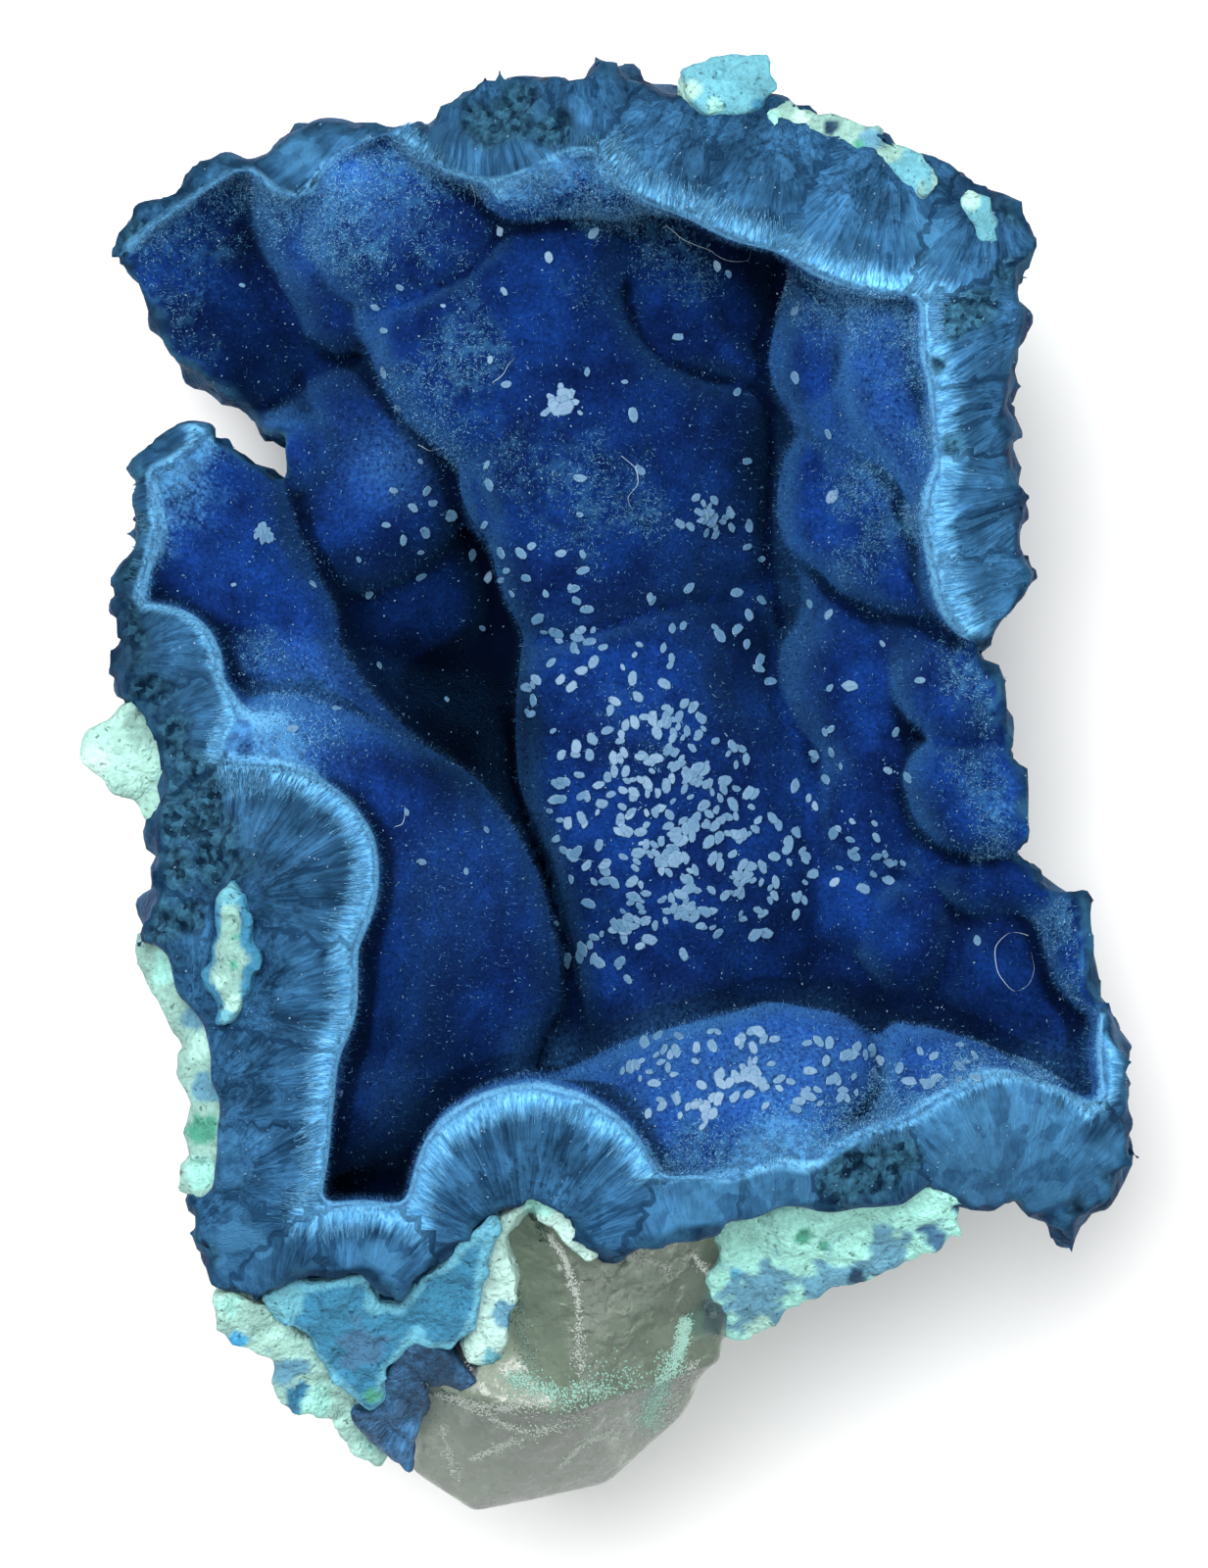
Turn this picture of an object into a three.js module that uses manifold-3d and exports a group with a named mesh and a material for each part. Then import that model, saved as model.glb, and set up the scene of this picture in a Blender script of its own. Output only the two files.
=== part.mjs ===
// Shattuckite specimen, in millimetres, +Z up.
// A broken cup of deep-blue botryoidal crust lies on its back. Its hollow opens upwards, a column of
// lobes runs down the hollow's back wall, and a quartz crystal sticks out of its lower end (-Y).
// The origin is on the ground, under the middle of the specimen.
import * as THREE from 'three';
import { ConvexGeometry } from 'three/addons/geometries/ConvexGeometry.js';
import { mergeVertices } from 'three/addons/utils/BufferGeometryUtils.js';
import Module from 'manifold-3d';

const wasm = await Module();
wasm.setup();

// ---- driving dimensions ----
const GAP = 0.3;               // clearance between neighbouring minerals
const MIDDLE = [1, 4];         // the point that the crust's outside draws in towards
const BASE_SCALE = 0.6;        // the worn base against the broken rim
const BASE_SMOOTHING = 14;     // passes that round the base outline
const BREAK_TOP = 46;          // above everything
const BREAK_SPREAD = 2.6;      // how far one height of the broken face reaches
const BREAK_ROUGHNESS = 0.25;  // height of the steps on the broken face
const FLOOR_SPREAD = 2.2;      // how far one lobe's height reaches on the hollow's floor
const FLOOR_RISE = 0.35;       // height of the creases against the lobes' own rise
const LOBE_STEP = 1;           // size of a facet on the lobes
const BREAK_STEP = 2.6;        // and on the broken face

// Outline of the crust's broken rim, seen from above, clockwise from the top.
const RIM = [
  [0, 29.9], [1.5, 28.9], [3.3, 28.3], [5.2, 28.0], [7.7, 27.8], [9.3, 27.0], [11.5, 26.5], [13.4, 25.6],
  [15.7, 24.3], [16.8, 23.7], [17.6, 21.9], [17.2, 20.2], [17.5, 19.2], [17.0, 17.2], [16.7, 15.2],
  [17.0, 13.2], [17.4, 11.5], [17.1, 9.3], [17.6, 8.5], [16.6, 6.6], [15.7, 5.6], [16.4, 4.2], [16.9, 1.5],
  [17.1, -1.5], [17.6, -3.3], [20.1, -5.0], [20.2, -7.2], [21.0, -9.3], [21.8, -11.0], [21.6, -13.3],
  [21.8, -15.6], [21.2, -17.2], [19.9, -18.0], [19.2, -19.2], [18.0, -18.0], [16.6, -17.0], [15.4, -17.6],
  [14.4, -17.3], [13.4, -16.6], [12.2, -17.6], [10.0, -17.9], [7.4, -17.8], [5.0, -18.3], [3.0, -18.7],
  [1.5, -19.2], [0.4, -19.6], [-0.6, -18.9], [-1.5, -17.6], [-2.8, -16.8], [-4.0, -17.4], [-5.8, -19.0],
  [-7.2, -20.1], [-8.3, -21.3], [-9.5, -21.2], [-9.6, -20.0], [-11.8, -20.4], [-12.5, -20.2], [-13.8, -21.0],
  [-15.8, -20.8], [-16.6, -19.0], [-16.9, -16.5], [-16.0, -15.5], [-16.6, -14.2], [-16.0, -13.2],
  [-16.8, -11.3], [-17.4, -9.2], [-18.6, -6.8], [-18.9, -5.5], [-18.4, -4.0], [-18.4, -2.0], [-18.2, 0.5],
  [-18.6, 2.4], [-20.1, 3.2], [-20.2, 5.1], [-19.7, 6.1], [-20.2, 7.4], [-19.8, 8.4], [-19.5, 10.2],
  [-19.4, 12.0], [-19.5, 12.9], [-18.5, 13.7], [-16.9, 14.7], [-16.2, 14.8], [-15.2, 13.9], [-13.6, 13.0],
  [-13.5, 14.2], [-15.2, 15.0], [-15.7, 15.9], [-16.7, 16.2], [-17.9, 17.2], [-18.6, 18.6], [-18.8, 20.0],
  [-20.3, 21.8], [-19.4, 23.6], [-17.5, 24.3], [-16.5, 25.5], [-14.0, 25.9], [-12.5, 26.8], [-11.5, 27.0],
  [-8.3, 27.0], [-7.2, 27.2], [-6.5, 28.0], [-3.5, 28.9], [-1.0, 29.0],
];

// Heights of the broken face: x, y, z.
const BREAK = [
  [-9.9, -6.0, 29.5], [-17.0, -8.0, 27.0], [-11.3, -13.5, 29.5], [-16.5, -15.0, 27.0], [-12.3, -17.5, 29.0],
  [-14.5, -20.5, 26.0], [-2.8, -13.0, 29.5], [-3.0, -16.8, 27.5], [-9.0, -19.0, 27.5], [3.4, -17.0, 28.0],
  [1.0, -19.4, 26.5], [8.0, -17.0, 27.0], [12.0, -15.0, 26.5], [12.0, -17.5, 24.5], [16.0, -12.0, 26.0],
  [17.0, -16.5, 22.5], [20.5, -14.0, 22.5], [19.3, -18.5, 19.0], [20.6, -11.0, 20.0], [21.7, -12.0, 17.5],
  [19.8, -6.5, 18.5], [16.5, -1.0, 18.5], [16.6, 3.5, 19.5], [14.0, 8.0, 22.5], [16.8, 8.0, 20.5],
  [13.6, 12.0, 24.0], [17.0, 12.0, 21.5], [13.8, 18.0, 25.0], [17.0, 18.0, 22.5], [13.0, 21.5, 25.0],
  [16.5, 23.0, 22.0], [8.0, 22.5, 25.5], [9.0, 26.5, 22.5], [3.0, 24.3, 24.5], [3.0, 28.5, 21.5],
  [-0.5, 26.0, 23.0], [-0.5, 29.5, 20.0], [-5.0, 26.3, 21.5], [-6.0, 28.0, 19.0], [-9.5, 26.5, 17.5],
  [-13.0, 26.0, 15.5], [-17.0, 24.0, 14.5], [-19.5, 21.5, 13.0], [-18.0, 18.0, 13.0], [-16.5, 14.8, 17.5],
  [-19.0, 11.0, 18.0], [-19.5, 7.0, 20.0], [-16.6, 6.0, 22.5], [-15.4, 1.5, 24.5], [-12.6, 0.3, 27.0],
  [-12.6, -4.0, 29.0], [-17.5, 3.0, 21.0], [-17.5, -3.0, 25.0], [-9.0, 22.0, 21.0], [-10.0, 12.0, 21.0],
  [0.0, 14.0, 24.0], [3.0, 4.0, 26.0], [4.0, -4.0, 27.0], [-4.0, 2.0, 27.0],
];

// Outline of the hollow where the broken face cuts its velvet, clockwise from the top.
// Where the velvet runs out to the specimen's own edge, it passes outside RIM.
const HOLLOW = [
  [-6.3, 26.3], [-5.5, 25.6], [-4.9, 25.0], [-3.5, 24.2], [-1.0, 23.6], [0.5, 23.2], [1.5, 23.4], [2.2, 23.2],
  [3.6, 22.9], [4.3, 22.6], [5.0, 22.1], [6.0, 21.9], [7.2, 21.8], [8.0, 21.4], [8.8, 21.0], [9.5, 20.6],
  [10.2, 20.2], [11.0, 19.9], [12.5, 19.9], [12.6, 18.5], [12.7, 17.5], [13.0, 16.8], [13.2, 15.8],
  [13.3, 14.5], [12.9, 13.8], [12.7, 12.8], [12.8, 10.5], [12.9, 9.0], [13.2, 8.0], [13.5, 7.2], [14.0, 6.6],
  [14.9, 6.0], [15.8, 4.6], [16.2, 3.0], [16.3, 0.0], [16.4, -2.0], [17.0, -3.4], [18.6, -4.6], [19.5, -5.6],
  [19.7, -7.0], [19.8, -8.6], [19.6, -10.0], [19.6, -11.4], [20.0, -12.8], [20.6, -13.9], [19.0, -13.1],
  [18.0, -12.5], [17.0, -11.8], [15.5, -11.5], [14.0, -11.8], [13.0, -12.5], [11.5, -13.3], [10.5, -14.0],
  [9.4, -15.2], [8.4, -15.9], [6.0, -16.0], [4.6, -15.8], [3.0, -16.2], [2.2, -14.8], [1.4, -14.0],
  [0.6, -13.3], [-0.3, -12.6], [-1.2, -12.1], [-3.0, -12.0], [-4.0, -12.2], [-5.0, -12.9], [-6.0, -13.5],
  [-7.0, -14.5], [-7.7, -15.2], [-8.4, -16.5], [-10.0, -16.9], [-11.5, -16.8], [-12.3, -17.1], [-13.2, -18.0],
  [-12.5, -16.7], [-11.8, -15.6], [-11.2, -14.5], [-11.5, -12.5], [-10.7, -10.5], [-10.1, -9.3], [-9.9, -8.0],
  [-9.9, -6.5], [-10.0, -5.7], [-9.5, -5.0], [-9.2, -4.0], [-9.3, -2.8], [-9.6, -1.7], [-10.2, -0.7],
  [-11.0, 0.0], [-12.0, 0.4], [-14.0, 0.6], [-14.8, 1.3], [-15.8, 3.0], [-16.0, 4.5], [-15.6, 6.3],
  [-16.5, 7.0], [-17.5, 7.3], [-18.5, 7.0], [-18.8, 7.6], [-18.5, 9.0], [-17.8, 11.0], [-17.2, 13.5],
  [-17.4, 15.2], [-18.8, 16.4], [-19.8, 18.8], [-19.3, 20.6], [-18.9, 21.8], [-17.6, 22.6], [-16.6, 23.6],
  [-15.6, 24.6], [-14.6, 25.2], [-13.6, 25.3], [-12.2, 26.2], [-10.0, 26.6], [-8.0, 26.7],
];

// The lobes, each an ellipsoid: centre x, y, z and half-sizes x, y, z.
const LOBES = {
  column: [
    [-8.6, 23.2, 13.4, 3.6, 3.7, 4.2], [-5.6, 17.0, 11.6, 3.8, 4.0, 5.6], [-2.4, 20.8, 12.6, 5.2, 4.8, 5.8],
    [3.6, 19.4, 11.6, 3.6, 3.7, 5.0], [-0.8, 12.2, 10.6, 5.2, 6.2, 7.2], [3.8, 12.0, 9.8, 4.2, 5.4, 6.4],
    [1.6, 0.6, 8.8, 5.2, 6.2, 7.0], [4.2, -1.6, 8.8, 4.8, 6.6, 6.6], [1.4, -5.2, 8.8, 5.2, 6.0, 6.8],
    [5.2, -7.0, 8.8, 5.0, 5.0, 6.4], [4.4, 6.0, 8.8, 4.2, 4.2, 5.8],
  ],
  rightWall: [
    [10.6, 17.6, 13.4, 3.8, 3.9, 5.0], [10.2, 11.8, 12.2, 3.4, 3.2, 4.6], [13.0, 16.6, 17.4, 4.0, 4.4, 4.6],
    [13.0, 12.0, 16.4, 3.4, 3.8, 4.6], [11.2, 8.2, 12.2, 3.4, 3.2, 4.2], [13.6, 8.2, 15.6, 3.0, 3.2, 4.2],
    [15.4, 4.0, 14.0, 3.0, 3.2, 3.8], [15.2, -0.6, 13.9, 3.0, 2.9, 3.8], [10.8, 4.4, 10.0, 3.6, 3.8, 4.4],
    [12.2, 1.5, 11.6, 2.2, 2.2, 2.6], [10.8, 0.0, 8.8, 3.4, 3.4, 4.0], [10.0, -4.8, 8.6, 3.6, 3.8, 4.2],
    [12.4, -7.0, 10.2, 2.5, 2.5, 3.2], [14.8, -4.8, 10.8, 3.0, 3.0, 3.6], [18.2, -6.0, 13.4, 3.6, 3.2, 4.4],
    [17.6, -10.6, 8.4, 4.4, 4.4, 4.8], [12.5, -10.5, 8.4, 4.4, 4.4, 4.2],
  ],
  floor: [
    [6.2, -15.0, 20.6, 6.4, 6.0, 6.6], [1.0, -15.2, 20.8, 5.2, 5.0, 6.2], [10.0, -14.6, 19.6, 5.2, 5.2, 6.0],
    [13.6, -15.4, 18.4, 5.8, 5.4, 6.2], [19.0, -17.2, 17.4, 4.4, 4.4, 5.0],
  ],
  leftWall: [
    [-8.4, -4.6, 16.0, 6.6, 7.0, 8.0], [-12.5, -1.0, 18.4, 4.6, 4.8, 5.6], [-7.8, -11.5, 14.5, 5.4, 5.0, 6.4],
    [-9.6, -13.8, 17.6, 3.0, 3.0, 3.8], [-3.5, -9.0, 8.6, 4.4, 4.6, 4.4], [-10.5, 2.2, 13.6, 4.0, 3.8, 4.6],
  ],
  cleft: [
    [-10.2, 12.6, 7.4, 4.6, 4.8, 5.2], [-8.2, 7.6, 5.4, 4.2, 4.4, 4.4], [-11.5, 6.5, 9.0, 3.8, 4.0, 4.2],
    [-13.0, 5.2, 13.4, 3.0, 3.0, 3.4], [-14.8, 10.0, 11.8, 4.4, 4.6, 5.0],
  ],
  topLeft: [
    [-15.6, 19.8, 7.0, 4.8, 4.8, 5.4], [-11.8, 22.4, 9.8, 3.4, 3.8, 4.6], [-11.6, 17.6, 7.6, 4.0, 4.0, 4.4],
  ],
};

// The quartz cluster: two crystals grown together, each by its corners x, y, z.
const QUARTZ_POINT = [
  [-2.3, -15.0, 25.6], [-1.0, -25.6, 23.6], [-5.8, -15.0, 22.6], [-5.4, -25.4, 21.0], [6.4, -14.6, 22.0],
  [4.8, -23.6, 20.2], [-4.4, -13.0, 8.0], [-5.0, -25.0, 8.6], [5.4, -13.0, 8.0], [4.4, -23.6, 8.6],
];
const QUARTZ_BLOCK = [
  [-7.5, -24.2, 22.4], [-4.8, -25.2, 23.4], [-1.0, -25.7, 23.2], [4.4, -23.3, 20.2], [-7.9, -28.1, 17.6],
  [-5.2, -29.9, 16.6], [-2.0, -29.1, 17.0], [0.2, -28.7, 16.8], [3.4, -25.9, 17.6], [-8.0, -24.6, 8.4],
  [-5.2, -28.6, 7.6], [0.0, -27.6, 7.4], [4.0, -23.8, 8.4], [-6.8, -16.0, 20.4], [4.0, -16.0, 18.6],
  [-6.0, -14.0, 7.0], [4.0, -13.6, 7.0],
];

// The slabs of other minerals on the crust's outside. Each has its outline seen from above,
// the height z0 of its top at the point `at`, that top's slope along x and y, and its depth.
const SLABS = {
  malachite_band: {
    colour: 0xcfe6d8, at: [-4, -20], z0: 25.4, slope: [0.1, 0.35], depth: 5,
    outline: [
      [-2.8, -16.6], [-3.8, -17.4], [-4.7, -18.4], [-5.0, -19.5], [-5.2, -21.0], [-5.3, -22.2], [-5.9, -22.9],
      [-5.7, -23.6], [-4.9, -23.9], [-4.2, -23.9], [-3.9, -22.3], [-3.6, -21.2], [-3.8, -19.9], [-4.0, -18.8],
      [-3.5, -18.0], [-2.8, -17.4], [-1.7, -18.0], [-1.1, -19.0], [-0.7, -19.5], [-0.4, -19.3], [-0.9, -18.4],
      [-1.5, -17.4],
    ],
  },
  chrysocolla_layer: {
    colour: 0x4d9cc4, at: [-9, -21], z0: 26.0, slope: [0, 0.6], depth: 7,
    outline: [
      [-13.8, -21.1], [-12.5, -20.2], [-11.8, -20.4], [-9.6, -20.0], [-9.5, -21.3], [-8.3, -21.4],
      [-7.2, -20.1], [-5.8, -19.0], [-4.6, -17.9], [-4.4, -18.2], [-4.9, -19.0], [-5.2, -21.3],
      [-5.3, -22.3], [-6.0, -22.9], [-6.8, -23.1], [-7.7, -22.1], [-8.1, -23.1], [-8.7, -23.8],
      [-8.8, -24.6], [-9.0, -25.3], [-9.6, -25.6],
      [-10.8, -24.2], [-12.6, -22.1], [-13.6, -21.6],
    ],
  },
  shattuckite_wedge: {
    colour: 0x2b5f8c, at: [-8, -24], z0: 23.8, slope: [0, 0.7], depth: 7,
    outline: [
      [-8.7, -23.8], [-7.7, -22.1], [-6.8, -23.1], [-5.5, -23.9], [-5.1, -24.5], [-5.8, -24.7], [-7.2, -24.2],
      [-7.4, -25.5], [-7.9, -28.1], [-9.0, -27.4], [-10.2, -25.9], [-9.6, -25.6], [-9.0, -25.3],
      [-8.8, -24.6],
    ],
  },
  mint_lump_bottom: {
    colour: 0xb4ddcb, at: [-13, -22.5], z0: 24.4, slope: [-0.35, 0.75], depth: 8,
    outline: [
      [-15.8, -20.8], [-15.2, -20.6], [-14.4, -21.2], [-13.6, -21.6], [-12.6, -22.1], [-10.8, -24.2],
      [-9.6, -25.6], [-10.2, -25.9], [-9.0, -27.4], [-9.2, -27.8], [-10.0, -27.4], [-10.6, -26.8],
      [-11.2, -25.9], [-12.0, -25.6], [-12.7, -25.6], [-13.1, -25.2], [-13.4, -24.1], [-13.6, -23.2],
      [-14.9, -23.0], [-15.6, -22.4],
    ],
  },
  mint_apron: {
    colour: 0x9fd3c6, at: [8, -19], z0: 22.6, slope: [-0.05, 0.9], depth: 8,
    outline: [
      [4.6, -17.8], [7.4, -17.2], [9.8, -17.2], [12.2, -16.9], [13.4, -16.2], [14.5, -17.4], [14.4, -18.5],
      [12.6, -19.6], [11.5, -19.6], [10.2, -20.4], [8.2, -20.9], [7.4, -22.0], [6.6, -22.6], [4.8, -22.6],
      [3.0, -22.1], [4.0, -21.1], [4.8, -19.7],
    ],
  },
  mint_rind_left: {
    colour: 0x8fcdb8, at: [-16.5, -11], z0: 25.4, slope: [0.7, 0], depth: 7,
    outline: [
      [-18.7, -6.9], [-18.4, -6.5], [-17.8, -7.2], [-17.2, -7.6], [-17.0, -8.6], [-16.2, -8.9],
      [-15.9, -9.6], [-15.6, -10.8], [-15.5, -12.0], [-15.4, -14.0], [-15.5, -16.4], [-16.4, -17.2],
      [-16.9, -16.5], [-16.8, -15.8],
      [-16.1, -15.3], [-16.6, -14.2], [-16.1, -13.2], [-16.8, -11.3], [-17.4, -9.4], [-18.3, -7.9],
    ],
  },
  mint_pod_left: {
    colour: 0xa9dcc4, at: [-15.2, -7], z0: 28.0, slope: [0.45, -0.05], depth: 3.5,
    outline: [
      [-15.2, -4.2], [-15.8, -5.4], [-16.2, -7.0], [-16.0, -8.4], [-15.5, -9.2], [-14.9, -9.4], [-14.5, -8.4],
      [-14.3, -7.2], [-14.5, -6.2], [-14.8, -5.2],
    ],
  },
  mint_wing_left: {
    colour: 0xb9dcd0, at: [-19.5, 1.5], z0: 20.4, slope: [0.1, 0.1], depth: 3.4,
    outline: [
      [-21.8, 1.1], [-20.8, 2.2], [-19.8, 3.0], [-18.8, 3.1], [-17.4, 2.8], [-16.6, 1.7], [-16.8, 0.2],
      [-17.2, -1.2], [-18.5, -1.5], [-19.5, -0.5], [-20.4, 0.2],
    ],
  },
  mint_knob_top: {
    colour: 0x86bfd0, at: [5, 28.5], z0: 23.0, slope: [0.1, -0.2], depth: 6,
    outline: [
      [3.4, 29.2], [3.5, 28.2], [4.2, 27.7], [5.5, 27.4], [6.5, 27.6], [7.0, 28.3], [6.8, 29.2], [6.1, 29.6],
      [4.6, 29.6],
    ],
  },
  mint_streak_top: {
    colour: 0x9ed8cb, at: [10, 26.3], z0: 23.2, slope: [0, -0.3], depth: 3,
    outline: [
      [6.9, 27.3], [8.0, 27.5], [9.5, 27.1], [10.8, 26.9], [12.0, 26.2], [13.3, 25.4], [13.5, 24.7],
      [12.5, 24.1], [11.3, 25.0], [10.7, 25.7], [9.5, 26.3], [8.5, 26.5], [7.2, 26.6],
    ],
  },
  mint_sliver_top: {
    colour: 0xa8dccf, at: [15.3, 23.2], z0: 23.6, slope: [-0.3, 0], depth: 2.4,
    outline: [
      [14.5, 24.2], [15.1, 24.3], [15.6, 23.7], [16.0, 22.8], [16.1, 22.0], [15.6, 22.2], [15.2, 23.0],
      [14.7, 23.6],
    ],
  },
};
const MITRE_LIMIT = 2.5;       // how far a sharp corner moves out when an outline grows
const SLAB_STEP = 1.6;         // size of a facet on a slab's top
const SLAB_LUMP = 0.22;        // height of its lumps
const SLAB_LUMP_WIDTH = 3;
const SLAB_INSET = 0.35;       // how far a slab draws in towards the middle for each millimetre of depth

// ---- small tools ----
// A height that goes up and down in hummocks of about the given width, always the same way.
function hummocks(x, y, width) {
  const k = (2 * Math.PI) / width;
  const first = Math.sin(k * x + 1.7 * Math.sin(0.6 * k * y)) * Math.sin(k * y + 0.9);
  const second = Math.sin(1.9 * k * (x + y) + 2.1) * Math.sin(1.7 * k * (x - y));
  return 0.65 * first + 0.35 * second;
}

// Height of the broken face: the mean of BREAK's heights, weighted by nearness.
function breakHeight(x, y) {
  let total = 0;
  let weights = 0;
  for (const [px, py, pz] of BREAK) {
    const d2 = (x - px) ** 2 + (y - py) ** 2;
    const weight = Math.exp(-d2 / (2 * BREAK_SPREAD ** 2)) + 0.002 / (d2 + 4);
    total += weight * pz;
    weights += weight;
  }
  return total / weights;
}

function roughBreakHeight(x, y) {
  return breakHeight(x, y) + BREAK_ROUGHNESS * hummocks(x, y, 5);
}

function anticlockwise(outline) {
  const points = outline.map(([x, y]) => new THREE.Vector2(x, y));
  return THREE.ShapeUtils.isClockWise(points) ? points.reverse() : points;
}

// Rounds an outline by moving each point halfway to the middle of its neighbours.
function smoothed(points, passes) {
  let now = points.map((p) => p.clone());
  for (let pass = 0; pass < passes; pass += 1) {
    now = now.map((p, i) => {
      const before = now[(i + now.length - 1) % now.length];
      const after = now[(i + 1) % now.length];
      return before.clone().add(after).multiplyScalar(0.5).lerp(p, 0.5);
    });
  }
  return now;
}

// Moves each side of an anticlockwise outline outwards by the given distance, with mitred corners.
function grown(points, distance) {
  const outward = (from, to) => new THREE.Vector2(to.y - from.y, from.x - to.x).normalize();
  return points.map((p, i) => {
    const before = outward(points[(i + points.length - 1) % points.length], p);
    const after = outward(p, points[(i + 1) % points.length]);
    const corner = before.clone().add(after).normalize();
    const mitre = Math.min(MITRE_LIMIT, 1 / Math.max(0.01, corner.dot(before)));
    return p.clone().add(corner.multiplyScalar(distance * mitre));
  });
}

// A closed body through rings of Vector3, lowest first, all anticlockwise and of one length.
function loft(rings) {
  const count = rings[0].length;
  const positions = rings.flat().flatMap((p) => [p.x, p.y, p.z]);
  const faces = [];
  for (let ring = 0; ring + 1 < rings.length; ring += 1) {
    for (let i = 0; i < count; i += 1) {
      const next = (i + 1) % count;
      const [a, b] = [ring * count + i, ring * count + next];
      const [c, d] = [a + count, b + count];
      faces.push([a, b, d], [a, d, c]);
    }
  }
  const top = (rings.length - 1) * count;
  for (const [a, b, c] of capFaces(rings[0])) faces.push([a, c, b]);
  for (const [a, b, c] of capFaces(rings[rings.length - 1])) faces.push([top + a, top + b, top + c]);
  const geometry = new THREE.BufferGeometry();
  geometry.setAttribute('position', new THREE.Float32BufferAttribute(positions, 3));
  geometry.setIndex(faces.flat());
  return geometry;
}

function capFaces(ring) {
  return THREE.ShapeUtils.triangulateShape(ring.map((p) => new THREE.Vector2(p.x, p.y)), []);
}

function toSolid(geometry) {
  geometry.deleteAttribute('normal');
  geometry.deleteAttribute('uv');
  const merged = mergeVertices(geometry, 1e-4);
  return new wasm.Manifold(new wasm.Mesh({
    numProp: 3,
    vertProperties: new Float32Array(merged.attributes.position.array),
    triVerts: new Uint32Array(merged.index.array),
  }));
}

function toMesh(name, solid, colour, roughness) {
  const { vertProperties, triVerts } = solid.getMesh();
  const geometry = new THREE.BufferGeometry();
  geometry.setAttribute('position', new THREE.Float32BufferAttribute(vertProperties, 3));
  geometry.setIndex(Array.from(triVerts));
  geometry.computeVertexNormals();
  const finish = { color: colour, roughness, metalness: 0, flatShading: true };
  const material = new THREE.MeshStandardMaterial(finish);
  const mesh = new THREE.Mesh(geometry, material);
  mesh.name = name;
  return mesh;
}

// The largest connected shell, without crumbs cut loose or pockets closed in.
function onePiece(solid) {
  return solid.decompose().reduce((best, part) => (part.volume() > best.volume() ? part : best));
}

// Everything between two height functions over a rectangle, whose grid keeps to whole steps.
function block([minX, maxX, minY, maxY], step, bottom, top) {
  const [left, near] = [Math.floor(minX / step), Math.floor(minY / step)];
  const columns = Math.ceil(maxX / step) - left;
  const rows = Math.ceil(maxY / step) - near;
  const box = new THREE.BoxGeometry(columns * step, rows * step, 2, columns, rows, 1);
  const place = box.attributes.position;
  for (let i = 0; i < place.count; i += 1) {
    const x = place.getX(i) + (left + columns / 2) * step;
    const y = place.getY(i) + (near + rows / 2) * step;
    place.setXYZ(i, x, y, place.getZ(i) > 0 ? top(x, y) : bottom(x, y));
  }
  return toSolid(box);
}

// ---- the crust ----
// The outside: the rim's outline drops down and draws in to a smaller, rounded base.
function crustOutside() {
  const rim = anticlockwise(RIM);
  const middle = new THREE.Vector2(...MIDDLE);
  const base = smoothed(rim, BASE_SMOOTHING).map((p) => p.sub(middle).multiplyScalar(BASE_SCALE).add(middle));
  const levels = [0, 0.07, 0.2, 0.38, 0.6, 0.8, 1];
  const rings = levels.map((level, ring) => rim.map((p, i) => {
    const drawn = 1 - (1 - level) ** 2.3;
    const at = base[i].clone().lerp(p, drawn);
    const rocky = ring === 0 ? 0 : (1 - level) * 1.5 * hummocks(at.x + 3 * ring, at.y - 2 * ring, 9);
    const out = at.clone().sub(middle).normalize().multiplyScalar(rocky);
    return new THREE.Vector3(at.x + out.x, at.y + out.y, level * breakHeight(p.x, p.y));
  }));
  rings.push(rim.map((p) => new THREE.Vector3(p.x, p.y, BREAK_TOP)));
  return toSolid(loft(rings));
}

// Height of the hollow's floor: the highest lobe there, or the creases' level where no lobe reaches.
function floorHeight(x, y) {
  let height = 0;
  let total = 0;
  let weights = 0;
  for (const [lx, ly, lz, a, b, c] of Object.values(LOBES).flat()) {
    const inside = 1 - ((x - lx) / a) ** 2 - ((y - ly) / b) ** 2;
    if (inside > 0) height = Math.max(height, lz + c * Math.sqrt(inside));
    const d2 = (x - lx) ** 2 + (y - ly) ** 2;
    const weight = Math.exp(-d2 / (2 * FLOOR_SPREAD ** 2)) + 0.0005 / (d2 + 4);
    total += weight * (lz + FLOOR_RISE * c);
    weights += weight;
  }
  return Math.max(height, total / weights);
}

function hollow() {
  const outline = anticlockwise(HOLLOW);
  const level = (height) => outline.map((p) => new THREE.Vector3(p.x, p.y, height));
  const shaft = toSolid(loft([level(0), level(BREAK_TOP)]));
  return shaft.intersect(block([-21, 22, -19, 28], LOBE_STEP, floorHeight, () => BREAK_TOP + 4));
}

function crust(neighbours) {
  const broken = block([-26, 26, -34, 34], BREAK_STEP, roughBreakHeight, () => BREAK_TOP + 4);
  const cup = crustOutside().subtract(hollow()).subtract(broken);
  return onePiece(cup.subtract(wasm.Manifold.union(neighbours)));
}

// ---- the quartz ----
function quartz(extra) {
  const crystals = [QUARTZ_POINT, QUARTZ_BLOCK].map((corners) => {
    const points = corners.map((p) => new THREE.Vector3(...p));
    const centre = points.reduce((sum, p) => sum.add(p), new THREE.Vector3()).divideScalar(points.length);
    const moved = points.map((p) => {
      const out = p.clone().sub(centre);
      return p.clone().add(out.normalize().multiplyScalar(extra));
    });
    return toSolid(new ConvexGeometry(moved));
  });
  return wasm.Manifold.union(crystals);
}

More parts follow.
